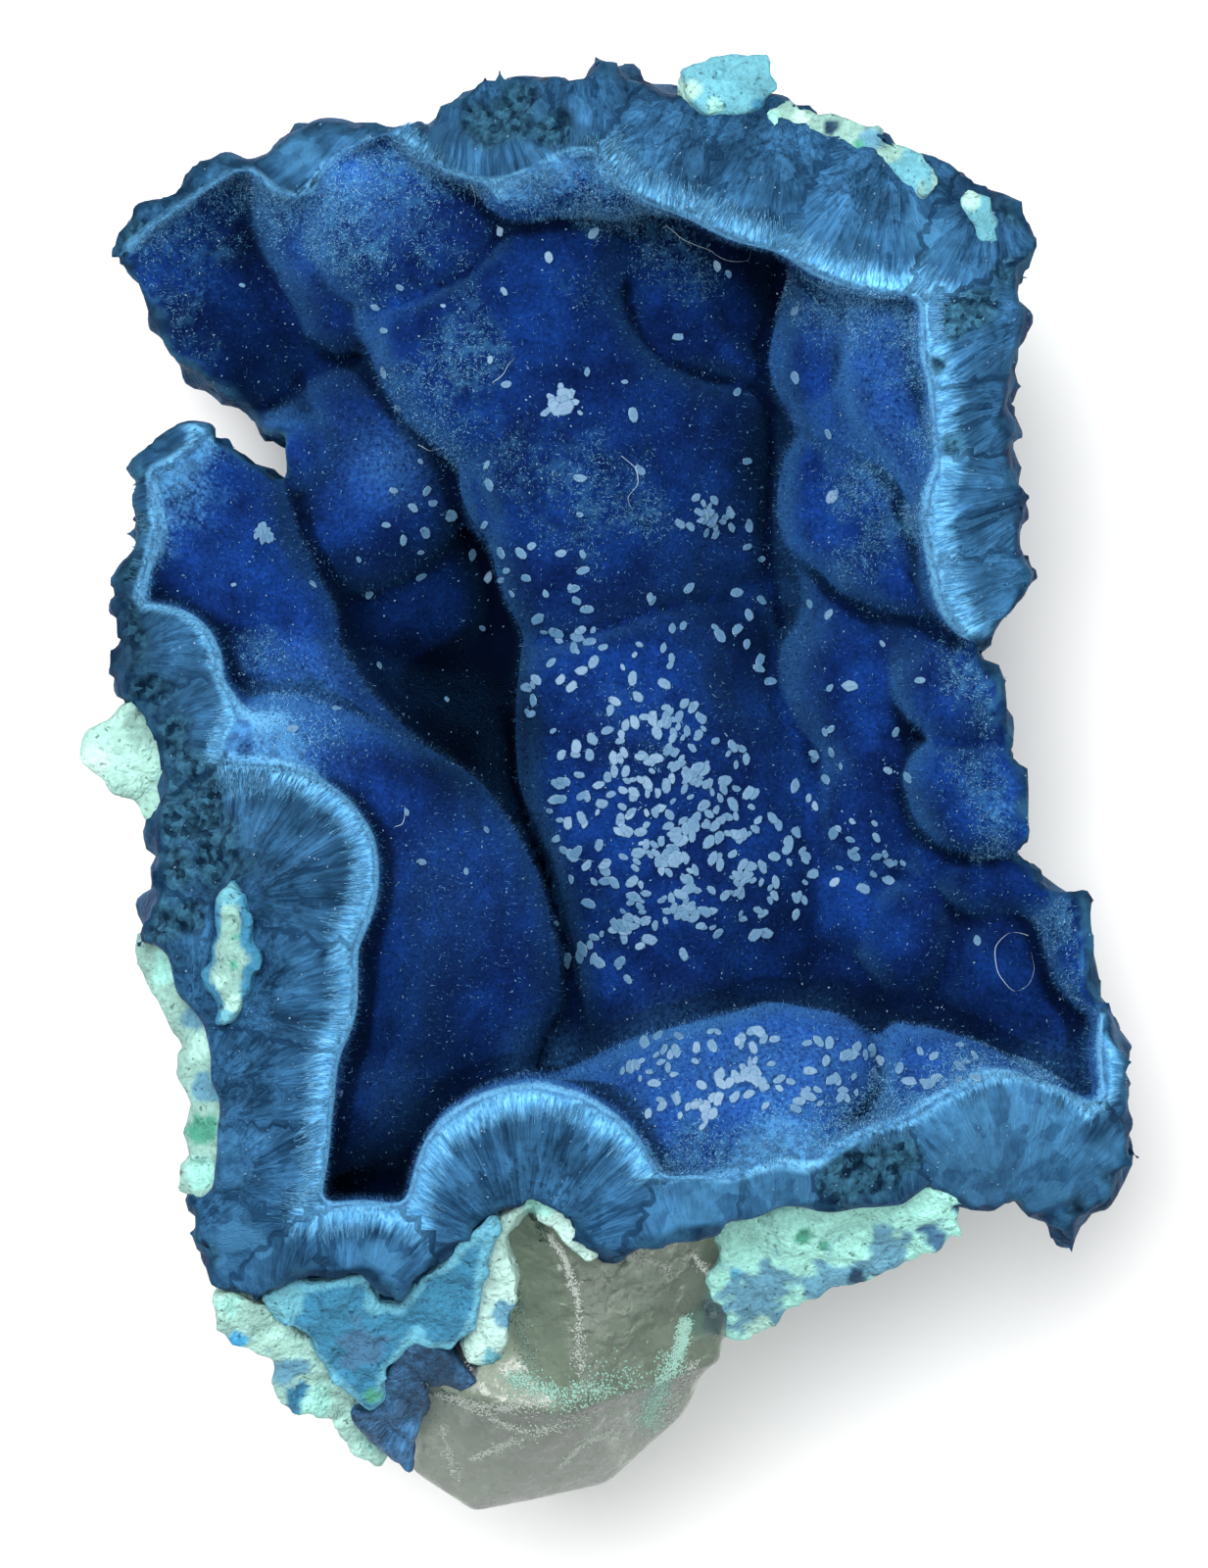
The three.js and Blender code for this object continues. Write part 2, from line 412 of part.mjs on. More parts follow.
// ---- the slabs ----
// One slab, grown all round by the given extra: straight walls down from a lumpy, sloping top.
function slab({ outline, at, z0, slope, depth }, extra) {
  const rim = grown(anticlockwise(outline), extra);
  const middle = new THREE.Vector2(...MIDDLE);
  const topHeight = (x, y) => {
    const plane = z0 + slope[0] * (x - at[0]) + slope[1] * (y - at[1]);
    return plane + SLAB_LUMP * hummocks(x, y, SLAB_LUMP_WIDTH) + extra;
  };
  const heights = rim.map((p) => topHeight(p.x, p.y));
  const low = Math.min(...heights) - depth - extra;
  const high = Math.max(...heights) + SLAB_LUMP + 1;
  const foot = rim.map((p) => {
    const drawnIn = p.clone().lerp(middle, (SLAB_INSET * depth) / p.distanceTo(middle));
    return new THREE.Vector3(drawnIn.x, drawnIn.y, low);
  });
  const edge = rim.map((p, i) => new THREE.Vector3(p.x, p.y, heights[i]));
  const cap = rim.map((p) => new THREE.Vector3(p.x, p.y, high));
  const column = toSolid(loft([foot, edge, cap]));
  const xs = [...foot, ...edge].map((p) => p.x);
  const ys = [...foot, ...edge].map((p) => p.y);
  const area = [Math.min(...xs) - 1, Math.max(...xs) + 1, Math.min(...ys) - 1, Math.max(...ys) + 1];
  return column.intersect(block(area, SLAB_STEP, () => low - 1, topHeight));
}

// ---- assembly ----
const group = new THREE.Group();
const cluster = quartz(0);
group.add(toMesh('quartz_cluster', cluster, 0x8f948c, 0.2));
const neighbours = [quartz(GAP)];
for (const [name, shape] of Object.entries(SLABS)) {
  const solid = slab(shape, 0).subtract(wasm.Manifold.union(neighbours));
  group.add(toMesh(name, solid, shape.colour, 0.8));
  neighbours.push(slab(shape, GAP));
}
group.add(toMesh('shattuckite_crust', crust(neighbours), 0x1c4a86, 0.75));

export default group;
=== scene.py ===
import math

import bmesh
import bpy
import numpy as np
from mathutils.bvhtree import BVHTree
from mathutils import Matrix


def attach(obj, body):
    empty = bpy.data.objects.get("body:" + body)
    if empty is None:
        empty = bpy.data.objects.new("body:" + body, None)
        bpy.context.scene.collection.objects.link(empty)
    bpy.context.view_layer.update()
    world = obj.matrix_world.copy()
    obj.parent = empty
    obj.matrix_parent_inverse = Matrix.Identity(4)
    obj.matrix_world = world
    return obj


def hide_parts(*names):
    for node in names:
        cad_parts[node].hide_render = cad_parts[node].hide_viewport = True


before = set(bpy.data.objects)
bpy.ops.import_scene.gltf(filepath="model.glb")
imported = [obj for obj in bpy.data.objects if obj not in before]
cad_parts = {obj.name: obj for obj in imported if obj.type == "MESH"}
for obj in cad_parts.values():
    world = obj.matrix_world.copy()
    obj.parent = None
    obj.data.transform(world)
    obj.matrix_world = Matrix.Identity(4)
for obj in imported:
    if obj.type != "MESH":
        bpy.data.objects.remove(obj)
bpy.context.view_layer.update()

MM = 0.001
VOXEL = 0.3      # size of the crust's grid cells
SLAB_VOXEL = 0.2
DEEP_VOXEL = 0.6                        # height of the cells under DEEP_TOP, where only the outside shows
DEEP_TOP = 7.0
COARSE = 0.6                            # grid of the outside's smooth walls
FAR = 9.0                               # farther from a surface than anything asks about
TINY = 1e-9

# The part's own dimensions, as the CAD has them.
MIDDLE = np.array([1.0, 4.0])           # the point that the crust's outside draws in towards
BASE_SCALE = 0.6                        # how small the base is beside the rim, and how much smoother
BASE_SMOOTHING = 14
BREAK_SPREAD = 2.6                      # how far round itself each height in BREAK and in FLOOR counts,
FLOOR_SPREAD = 2.2
BREAK_FAR = 0.002                       # and how much it still counts farther away
FLOOR_FAR = 0.0005
RING_LEVELS = [0, 0.07, 0.2, 0.38, 0.6, 0.8, 1]     # the CAD's rings of corners, from base to rim
WALL_CURVE = 2.3                        # how the walls draw in: the power of the height's share
ROCK_SIZE = 1.5                         # height and width of the outside's broad knobs
ROCK_WIDTH = 9
SLAB_INSET = 0.35                       # how much a slab's walls draw in for each millimetre of depth

# Outline of the crust's broken rim, seen from above, clockwise from the top.
RIM = [
    (0, 29.9), (1.5, 28.9), (3.3, 28.3), (5.2, 28), (7.7, 27.8), (9.3, 27), (11.5, 26.5), (13.4, 25.6),
    (15.7, 24.3), (16.8, 23.7), (17.6, 21.9), (17.2, 20.2), (17.5, 19.2), (17, 17.2), (16.7, 15.2),
    (17, 13.2), (17.4, 11.5), (17.1, 9.3), (17.6, 8.5), (16.6, 6.6), (15.7, 5.6), (16.4, 4.2), (16.9, 1.5),
    (17.1, -1.5), (17.6, -3.3), (20.1, -5), (20.2, -7.2), (21, -9.3), (21.8, -11), (21.6, -13.3),
    (21.8, -15.6), (21.2, -17.2), (19.9, -18), (19.2, -19.2), (18, -18), (16.6, -17), (15.4, -17.6),
    (14.4, -17.3), (13.4, -16.6), (12.2, -17.6), (10, -17.9), (7.4, -17.8), (5, -18.3), (3, -18.7),
    (1.5, -19.2), (0.4, -19.6), (-0.6, -18.9), (-1.5, -17.6), (-2.8, -16.8), (-4, -17.4), (-5.8, -19),
    (-7.2, -20.1), (-8.3, -21.3), (-9.5, -21.2), (-9.6, -20), (-11.8, -20.4), (-12.5, -20.2), (-13.8, -21),
    (-15.8, -20.8), (-16.6, -19), (-16.9, -16.5), (-16, -15.5), (-16.6, -14.2), (-16, -13.2), (-16.8, -11.3),
    (-17.4, -9.2), (-18.6, -6.8), (-18.9, -5.5), (-18.4, -4), (-18.4, -2), (-18.2, 0.5), (-18.6, 2.4),
    (-20.1, 3.2), (-20.2, 5.1), (-19.7, 6.1), (-20.2, 7.4), (-19.8, 8.4), (-19.5, 10.2), (-19.4, 12),
    (-19.5, 12.9), (-18.5, 13.7), (-16.9, 14.7), (-16.2, 14.8), (-15.2, 13.9), (-13.6, 13), (-13.5, 14.2),
    (-15.2, 15), (-15.7, 15.9), (-16.7, 16.2), (-17.9, 17.2), (-18.6, 18.6), (-18.8, 20), (-20.3, 21.8),
    (-19.4, 23.6), (-17.5, 24.3), (-16.5, 25.5), (-14, 25.9), (-12.5, 26.8), (-11.5, 27), (-8.3, 27),
    (-7.2, 27.2), (-6.5, 28), (-3.5, 28.9), (-1, 29),
]

# Heights of the broken face: x, y, z.
BREAK = [
    (-9.9, -6, 29.5), (-17, -8, 27), (-11.3, -13.5, 29.5), (-16.5, -15, 27), (-12.3, -17.5, 29),
    (-14.5, -20.5, 26), (-2.8, -13, 29.5), (-3, -16.8, 27.5), (-9, -19, 27.5), (3.4, -17, 28),
    (1, -19.4, 26.5), (8, -17, 27), (12, -15, 26.5), (12, -17.5, 24.5), (16, -12, 26), (17, -16.5, 22.5),
    (20.5, -14, 22.5), (19.3, -18.5, 19), (20.6, -11, 20), (21.7, -12, 17.5), (19.8, -6.5, 18.5),
    (16.5, -1, 18.5), (16.6, 3.5, 19.5), (14, 8, 22.5), (16.8, 8, 20.5), (13.6, 12, 24), (17, 12, 21.5),
    (13.8, 18, 25), (17, 18, 22.5), (13, 21.5, 25), (16.5, 23, 22), (8, 22.5, 25.5), (9, 26.5, 22.5),
    (3, 24.3, 24.5), (3, 28.5, 21.5), (-0.5, 26, 23), (-0.5, 29.5, 20), (-5, 26.3, 21.5), (-6, 28, 19),
    (-9.5, 26.5, 17.5), (-13, 26, 15.5), (-17, 24, 14.5), (-19.5, 21.5, 13), (-18, 18, 13),
    (-16.5, 14.8, 17.5), (-19, 11, 18), (-19.5, 7, 20), (-16.6, 6, 22.5), (-15.4, 1.5, 24.5),
    (-12.6, 0.3, 27), (-12.6, -4, 29), (-17.5, 3, 21), (-17.5, -3, 25), (-9, 22, 21), (-10, 12, 21),
    (0, 14, 24), (3, 4, 26), (4, -4, 27), (-4, 2, 27),
]

# The hollow's walls behind the lobes, seen from above.
SHAFT = [
    (-15.6, 1), (-12, -1.6), (-10.8, -4), (-11.6, -9), (-12.8, -13), (-14.2, -18.2), (-8, -18.4),
    (-4.6, -14.4), (-1.6, -14.2), (2.6, -17), (9.6, -17), (12, -15.4), (16, -13.8), (19.4, -14.6),
    (21.2, -12), (20.8, -9.6), (21.6, -8.6), (21.4, -4.2), (18.4, -2.4), (18.2, 4.4), (16.4, 6.4), (14.6, 9),
    (14.4, 18), (14.4, 21.6), (10, 22.2), (4, 24.2), (1.6, 25), (0.4, 26), (-1.6, 26.2), (-2.8, 25.4),
    (-4, 24.8), (-4.9, 25.2), (-5.6, 26), (-6.2, 27.4), (-7.2, 27.6), (-8.5, 26.9), (-10, 26.1),
    (-11.2, 25.4), (-11.9, 24.4), (-12.6, 24), (-13.4, 24.3), (-14.5, 25.3), (-15.6, 24.7), (-17, 23.8),
    (-18.4, 22.9), (-19.4, 22.1), (-20.6, 20.7), (-20.6, 18.8), (-19.4, 15.9), (-17.4, 14.9), (-15.2, 14.55),
    (-13.9, 13.8), (-15.2, 14.35), (-16.2, 14.2), (-18.6, 12.8), (-19, 7.6), (-17.6, 6), (-18, 3),
]

# Heights of the hollow's floor under the lobes: x, y, z.
FLOOR = [
    (-8.6, 23.2, 12), (-5.6, 17, 10.2), (-2.4, 20.8, 11.2), (3.6, 19.4, 10.3), (-0.8, 12.2, 8.8),
    (3.8, 12, 8.2), (1.6, 0.6, 7.1), (4.2, -1.6, 7.2), (1.4, -5.2, 7.1), (5.2, -7, 7.2), (4.4, 6, 7.4),
    (10.6, 17.6, 12), (10.2, 11.8, 11), (13.4, 16.6, 12), (13.4, 11.6, 12), (11.2, 8.2, 11.1), (13.8, 8, 12),
    (15.4, 4, 12), (15.2, -0.6, 12), (10.8, 4.4, 8.9), (12.2, 1.5, 10.9), (10.8, 0, 9.9), (10, -4.8, 9.8),
    (12.4, -7, 10.6), (14.8, -4.8, 10.8), (18.2, -6, 12), (17.6, -10.6, 9.4), (12.5, -10.5, 9.2),
    (6.2, -15, 12), (1, -15.2, 12), (10, -14.6, 12), (13.6, -15.4, 12), (19, -17.2, 12), (-8.4, -4.6, 12),
    (-12.5, -1, 12), (-7.8, -11.5, 12), (-9.6, -13.8, 12), (-3.5, -9, 7.5), (-10.5, 2.2, 12),
    (-10.2, 12.6, 6.1), (-8.2, 7.6, 4.3), (-11.5, 6.5, 8), (-13, 5.2, 12), (-14.8, 10, 10.6),
    (-15.6, 19.8, 5.7), (-11.8, 22.4, 8.7), (-11.6, 17.6, 6.5),
]

# The lobes inside the hollow: centre x, y, z and half-sizes x, y, z.
LOBES = [
    # the right wall's foot
    (10.8, 4.4, 10, 3.6, 3.8, 4.4), (11.4, 1.4, 11, 2.2, 2.6, 3), (10.8, -1.4, 10, 2.5, 2.8, 3.4),
    (9.8, -5.2, 9.4, 2.1, 2.1, 2.8), (12.6, -6.4, 10.4, 2.2, 2.7, 2.8), (15.8, -4, 10.8, 2.4, 1.5, 3.2),
    (16.4, -8.2, 9.8, 2.8, 3.2, 3), (17.8, -11.2, 8.4, 4, 3.4, 4.8), (9.6, -8.8, 8.2, 2.8, 2.8, 3.4),
    (12.8, -10.2, 8.4, 2.8, 2.4, 3.4), (13.6, -0.6, 10.4, 2, 2.8, 3.2), (13.6, -2.8, 9.6, 1.8, 1.8, 3.4),
    (16.6, 1.7, 14, 1.2, 1.7, 3.6),
    # the left wall's lower part
    (-9.6, -13.8, 15.6, 3, 3, 3.8), (-3.5, -10.4, 8.6, 4.2, 3.6, 4.4),
    # the cleft left of the column
    (-14.7, 1.7, 20.4, 1.7, 1.5, 2.6), (-12.5, 13.6, 10.6, 1.9, 1.7, 4), (-10.2, 12.6, 7.4, 4.6, 4.8, 5.2),
    (-8.2, 7.8, 4, 3.6, 4, 4), (-6.2, 3.6, 1, 3.6, 4, 3),
    # under the top rim
    (-3.3, 24.2, 18.6, 1.5, 1.2, 2), (-1.5, 24.8, 19.4, 1.4, 1.5, 2.2), (0.5, 24.5, 19.8, 1.4, 1.3, 2.4),
    # the upper left
    (-15.6, 19.6, 7, 4.8, 4.8, 5.4), (-11.6, 17.6, 5.6, 3.2, 3.4, 3.4),
]

# Furrows between the lobes: depth, width and points.
FURROWS = [
    (0.25, 0.4, [(14.2, -5.2), (14.2, -6.6), (13.9, -8), (13.2, -9.4)]),
    (0.35, 0.5, [(-13.6, 18.2), (-12.6, 17), (-12, 15.2)]),
    (0.4, 0.5, [(-14.4, 6.2), (-12.6, 6.4), (-11, 5.6)]),
    (0.35, 0.4, [(12.2, 1.9), (13.6, 1.6), (15.4, 1.7), (16.4, 1.6)]),
    (0.4, 0.4, [(7, 15), (6.9, 12), (6.9, 9.4), (7.4, 6.6)]),
    (0.35, 0.5, [(2.4, 15.8), (2, 13.4), (3, 11.4)]), (0.3, 0.5, [(-5.2, 12.6), (-4.6, 10.8), (-4.8, 9)]),
    (0.45, 0.5, [(-15.2, 23.4), (-14.6, 21.6), (-13.6, 19.6)]),
]

# Broad bodies of velvet: how round the edge is, the outline seen from above, heights of the top
# (x, y, z), and any creases (depth, width, points) that divide the top into lobes.
# The furrow that the first two have in common.
UPPER_FURROW = (1.8, 0.55, [(0.8, 20.4), (1.2, 18.8), (2.4, 17.3), (4, 16.7), (6, 16.3), (7.2, 15.4)])
SHEETS = [
    dict(   # the column down the back wall
        round=3.6,
        outline=[
            (-7.4, 27.4), (-9.6, 26.4), (-11.3, 25.4), (-12, 24.2), (-12.1, 22.8), (-11.7, 21.5),
            (-10.9, 20.4), (-10.1, 19.3), (-9.6, 18.1), (-9.2, 17), (-8.6, 15.8), (-7.8, 14.7), (-6.9, 13.8),
            (-6.1, 13), (-5.9, 11.9), (-5.5, 10.8), (-5, 9.8), (-4.4, 8.6), (-3.8, 7.3), (-3.2, 6.1),
            (-3.3, 5), (-3.5, 3.6), (-3.5, 1.8), (-3.4, 0.2), (-2.9, -1.4), (-2.3, -3), (-1.8, -5),
            (-1.2, -7), (-0.7, -9.5), (-0.4, -14), (9, -14), (9.5, -9), (9.3, -5), (9.2, -2), (8.9, 0.2),
            (8.2, 2.2), (7.7, 4), (7.3, 6.5), (7, 9), (7, 12), (7, 16.2), (5.8, 16.9), (2.8, 18), (1.3, 19.2),
            (1, 21), (1.1, 24.8), (-3.8, 26), (-5.6, 27),
        ],
        heights=[
            (-8.8, 24.4, 17.6), (-8, 27, 17.2), (-4.6, 23, 17), (-1.5, 21.5, 17.6), (-6.4, 17.2, 17),
            (-1.5, 12.8, 18), (-3.5, 9.5, 17.2), (3, 12.6, 16), (6.6, 12, 10.8), (6.4, 7, 11.4), (1, 6, 16),
            (0.6, 1, 16), (3.6, -2, 15.6), (3, -8, 14.6), (8, -1, 13), (8.6, -8, 12.4), (1.5, 17, 17),
            (5.8, 15.6, 13.4), (0.6, 24, 17.4),
        ],
        creases=[
            UPPER_FURROW,
            (1.4, 0.7, [(-10.6, 19.6), (-9.3, 19.4), (-7.4, 20), (-5.5, 20.9), (-4.2, 22.4), (-3.8, 24.8)]),
            (0.7, 0.8, [(-6.2, 12.8), (-4.6, 13.8), (-3.2, 15.2), (-2.6, 17), (-3, 19), (-4.6, 20.6)]),
            (0.5, 0.8, [(-2.8, 17.2), (-1, 18), (1.2, 18.8)]),
            (1.7, 0.9, [(-3.6, 5.8), (-1.6, 5.9), (0, 6.4), (2.4, 7.2), (4.8, 7.6), (7, 8.6)]),
            (0.4, 0.7, [(0, 6.4), (0.6, 3), (-0.4, -1), (-0.2, -5), (0.8, -9)]),
            (0.5, 0.8, [(7.8, 2.2), (5.6, 0.6), (5, -2), (5.8, -5), (5.4, -9)]),
        ],
    ),
    dict(   # the lobe at the column's upper right, set back
        round=3.2,
        outline=[
            (0.2, 25.4), (0.4, 22), (0.4, 19), (2.4, 17), (5.4, 15.6), (7.1, 15.2), (7.2, 18), (7.3, 22.4),
            (4.8, 24.4),
        ],
        heights=[(2.6, 21.6, 15.8), (5.2, 19, 14.4), (6.8, 20, 12.2), (3, 18.2, 14.8)],
        creases=[
            UPPER_FURROW,
            (0.8, 0.6, [(4.6, 24), (4.4, 21), (5.2, 18.6), (7, 17.4)]),
        ],
    ),
    dict(   # the lobe behind the column's top
        round=3,
        outline=[
            (-14.9, 25.6), (-14.4, 24.2), (-14.2, 22.8), (-13.8, 21.4), (-13, 19.8), (-12, 18.3),
            (-10.8, 17.8), (-9.6, 18.2), (-9, 22), (-10, 26.4), (-12.4, 26.6),
        ],
        heights=[(-12.6, 24.4, 15.4), (-11.6, 19.6, 13.2), (-13.4, 22, 14.4), (-11, 25.4, 15.8)],
    ),
    dict(   # the upper left lobe under its ridge
        round=2.4,
        outline=[
            (-14.2, 28), (-17.6, 27), (-21.6, 25), (-22, 22), (-20, 20.4), (-18.9, 18.9), (-18.1, 17.4),
            (-16.6, 17), (-15, 17.8), (-13.8, 19.8), (-13.6, 22.4), (-14, 25),
        ],
        heights=[
            (-19.8, 22.4, 14), (-17, 24.4, 15), (-14.8, 25.8, 15), (-18.8, 20.8, 11.4), (-16.4, 21.6, 11.2),
            (-15.2, 19.4, 9.4), (-17.6, 18.4, 10.2), (-14.8, 23, 10.8),
        ],
        creases=[(0.5, 0.6, [(-18.6, 18.8), (-16.8, 19.4), (-15.8, 21.2), (-16, 22.8)])],
    ),
    dict(   # right wall, first step: the upper lobe
        round=3,
        outline=[
            (8.6, 21.8), (7.6, 20.4), (7.1, 18.8), (6.9, 17.2), (7.2, 15.7), (7.9, 14.6), (8.8, 14),
            (10.6, 13.2), (12.6, 12.4), (15.4, 13), (15.4, 21), (12, 22.4),
        ],
        heights=[(8.8, 18, 17), (10.4, 16.4, 18.4), (12.8, 17.8, 21.4), (13.6, 20, 22.6), (12.6, 14, 20.8)],
        creases=[(0.7, 0.8, [(7.4, 15), (9.2, 16.2), (10.3, 18.4), (10.8, 21)])],
    ),
    dict(   # right wall: the sheet that hangs from the light band
        round=1.8,
        outline=[
            (9.9, 18.8), (9.8, 16.8), (10.2, 15.2), (10.9, 14.2), (11.8, 13.1), (12.5, 12), (13.2, 11),
            (15.6, 11), (15.6, 20), (12.4, 21.4), (10.6, 20.6),
        ],
        heights=[(10.6, 17.4, 19.4), (12, 14.6, 20.6), (13.2, 12.6, 22), (13.6, 18, 23.2), (12.2, 20, 22)],
    ),
    dict(   # right wall: the lower lobe
        round=2.8,
        outline=[
            (9, 14.9), (8.2, 14.4), (7.4, 13.5), (7, 12.2), (6.9, 11), (7.3, 9.8), (8, 9.2), (9, 8.6),
            (10, 7.7), (11.4, 7.2), (12.6, 7), (14.2, 6.8), (15.6, 8), (15.6, 14), (12, 15),
        ],
        heights=[(8.6, 11.8, 15.6), (10.6, 11, 17.4), (12.6, 9.4, 19.4), (13.8, 8.4, 20.6), (11.4, 13.6, 18)],
        creases=[(0.8, 0.7, [(8.8, 14.6), (8.9, 12.8), (9.8, 11.2), (11.2, 9.8), (12.6, 8.4), (13.4, 6.6)])],
    ),
    dict(   # right wall: below the lower lobe, down to the middle
        round=2.4,
        outline=[
            (7.7, 9.6), (8.6, 6.4), (9.6, 4.2), (11.6, 3.6), (14.6, 5), (15.8, 6.2), (14, 8.6), (10, 9.8),
        ],
        heights=[(9.2, 7.2, 12.6), (12, 6.2, 14.6), (14.6, 6.4, 18)],
        creases=[(0.6, 0.8, [(10, 8), (11, 6), (11.6, 4)])],
    ),
    dict(   # right middle, upper lobe
        round=2.6,
        outline=[
            (14.2, 6.4), (13, 5.8), (12.2, 4.9), (12, 3.8), (12.5, 2.6), (13.5, 1.8), (15.2, 1.6),
            (17.4, 1.4), (17.8, 4.4), (16.4, 6.2),
        ],
        heights=[(13.4, 4.2, 16.4), (15.4, 4, 18.2), (16.6, 4, 18.8)],
    ),
    dict(   # right middle, lower lobe
        round=2.6,
        outline=[
            (13.4, 2.1), (12.7, 1.4), (12.4, 0.2), (12.8, -1), (13.3, -2), (13.9, -2.5), (15.2, -2.8),
            (16.8, -2.9), (18, -2.6), (18, 1.8),
        ],
        heights=[(13.8, 0.2, 16.2), (15.6, -0.4, 17.8), (16.8, 0.2, 18.6)],
    ),
    dict(   # right: the low edge between the middle lobes and the lowest
        round=2,
        outline=[(14.8, -2.4), (18.2, -1.8), (21.4, -4.2), (20, -6), (17.8, -5.4), (15.8, -4.2)],
        heights=[(16.4, -3.4, 13.4), (18.8, -4.4, 15)],
    ),
    dict(   # right low lobe beside the notch
        round=2.2,
        outline=[
            (19.6, -3.6), (18.6, -4.6), (18.1, -5.8), (18.2, -7), (18.6, -8.2), (19.4, -9.2), (21, -9.4),
            (21.6, -6), (20.8, -4),
        ],
        heights=[(19.2, -6.2, 16.2), (20.4, -7.6, 17.2), (20.2, -5, 17.2)],
    ),
    dict(   # the bulge of the floor behind the lower rim
        round=3,
        outline=[
            (-6, -13.6), (-3, -12.6), (-1, -11.5), (1, -10.5), (4, -9.7), (7, -9), (9.6, -9.5), (11.2, -10.5),
            (12, -9.9), (13.4, -10), (16, -11), (18, -12.1), (20.2, -13.4), (22, -15), (21, -20), (0, -21),
        ],
        heights=[
            (0, -12.8, 23.4), (-3.2, -13.2, 21), (4, -12, 25.4), (8, -12, 25.2), (12, -12.4, 24.2),
            (16, -13.4, 22.6), (19, -14.8, 20.4), (6, -16, 27.6), (12, -16, 25.4), (18, -17, 21.6),
            (1, -16, 25.4),
        ],
        creases=[(2.6, 0.5, [(11, -9.2), (11.3, -11), (11.2, -12.6), (10.4, -13.8)])],
    ),
    dict(   # the left wall's great bulge
        round=4.2,
        outline=[
            (-15, 2.6), (-13.6, 3.5), (-12.4, 3.6), (-11, 3.2), (-9.5, 2.6), (-8, 1.9), (-6.8, 1.3),
            (-5.8, 0.6), (-5, -0.1), (-4.2, -1), (-3.4, -2.2), (-2.7, -3.6), (-2.1, -5.4), (-1.7, -7.2),
            (-1.8, -9.2), (-2.8, -11.4), (-4.6, -13.2), (-7.6, -15.4), (-12, -16), (-14, -8),
        ],
        heights=[
            (-12.6, 1.6, 25.4), (-9, 0.4, 24.6), (-8.4, -4.6, 26), (-4.6, -4, 20.4), (-4.4, -8.6, 18.2),
            (-9.2, -9.6, 24.6), (-10.8, -12.6, 24.8), (-6, -12, 17.4),
        ],
        creases=[(0.6, 0.9, [(-11.6, -10.4), (-9.6, -10.9), (-7.8, -11.6), (-7.4, -13.4)]),
                 (0.3, 0.9, [(-6.8, -3.6), (-7.6, -6), (-6.6, -9.4)])],
    ),
    dict(   # the left wall's upper sheet beside the cleft
        round=3.4,
        outline=[
            (-16.8, 15), (-15.9, 14.4), (-14.9, 13.6), (-13.9, 13), (-13.2, 12.2), (-12.8, 11.2), (-12.4, 10),
            (-11.9, 8.8), (-11.2, 7.6), (-10.8, 6.4), (-10.3, 5.2), (-9.6, 4), (-8.8, 3), (-7.8, 1.8),
            (-10, -1), (-17, 1), (-20, 6), (-19.6, 12.6), (-18.4, 14.2),
        ],
        heights=[
            (-16.6, 13, 17.4), (-17.6, 10, 17.4), (-14.4, 10, 16.6), (-13, 7.4, 16.8), (-10.6, 3.6, 17.6),
            (-17, 7, 19.6), (-15, 5, 19.6), (-13, 3, 20.4),
        ],
        creases=[(0.8, 0.7, [(-16.6, 6), (-15, 6.3), (-13.4, 6), (-12.2, 5.2), (-11.6, 4), (-11.4, 3)])],
    ),
]

# The lobes that the broken face cuts open, so that each shows as an arc of fibres round its centre.
RIM_LOBES = [
    # right
    (16.9, 18.3, 22.3, 4.2, 4.2, 4.6), (17.4, 15.3, 21.8, 4.2, 4.2, 4.6), (17.2, 11.3, 21, 4.4, 4.4, 4.6),
    (17.2, 8.6, 20.5, 3.9, 3.4, 4.2), (23.5, -11.3, 17.5, 3.7, 3.9, 4),
    # lower
    (-2.8, -17.2, 27, 5.2, 5.2, 5.2), (-9.6, -20.6, 27, 3.8, 3.8, 3.8), (-12.6, -20.8, 26.5, 3.8, 3.8, 3.8),
    (3.8, -20.3, 27.5, 4.4, 4.4, 4.4), (7.4, -20.6, 26.8, 4.8, 4.8, 4.8), (15.8, -17.2, 22.5, 5.6, 5.6, 5.6),
    (11.8, -18.2, 24.6, 4.4, 4.4, 4.4),
    # left
    (-13.6, -3.8, 28, 4.5, 4.5, 4.5), (-15, -8.2, 28, 5.1, 5.1, 5.1), (-15.2, -11.2, 28, 4.4, 4.4, 4.4),
    (-15.8, -12.8, 28, 4.6, 4.6, 4.6), (-15.6, -15.2, 28, 4.4, 4.4, 4.4), (-16.4, -17.5, 27.5, 4.2, 4.2, 4.2),
    (-22.2, 9.5, 17, 4.2, 4.8, 4.4), (-17.9, 4.8, 20.5, 2.5, 2.5, 2.8), (-17.2, 2.2, 22, 2.6, 2.6, 2.8),
    # top
    (3.6, 27.2, 23.5, 4, 4, 4), (7, 26.6, 24, 4.8, 4.8, 4.8), (11, 24.6, 24.2, 4.7, 4.7, 4.7),
    (14.8, 22.6, 23.5, 3.4, 3.4, 3.4), (-0.8, 30.2, 22, 4.4, 4.4, 4.4), (-4.6, 29, 20.5, 4.5, 4.5, 4.5),
]


# ---- noise ----
LATTICE = 32
_lattices = {}


def noise(points, width, seed):
    """Smooth noise from -1 to 1 at the points, with lumps of the given width."""
    if seed not in _lattices:
        _lattices[seed] = np.random.default_rng(seed).uniform(-1, 1, (LATTICE,) * 3).astype(np.float32)
    table = _lattices[seed]
    at = np.asarray(points, np.float32) / width + 7.3
    cell = np.floor(at).astype(np.int32)
    part = at - cell
    part = part * part * (3 - 2 * part)
    result = 0
    for corner in np.ndindex(2, 2, 2):
        index = (cell + corner) % LATTICE
        weight = np.prod(np.where(corner, part, 1 - part), axis=-1)
        result = result + weight * table[index[..., 0], index[..., 1], index[..., 2]]
    return result


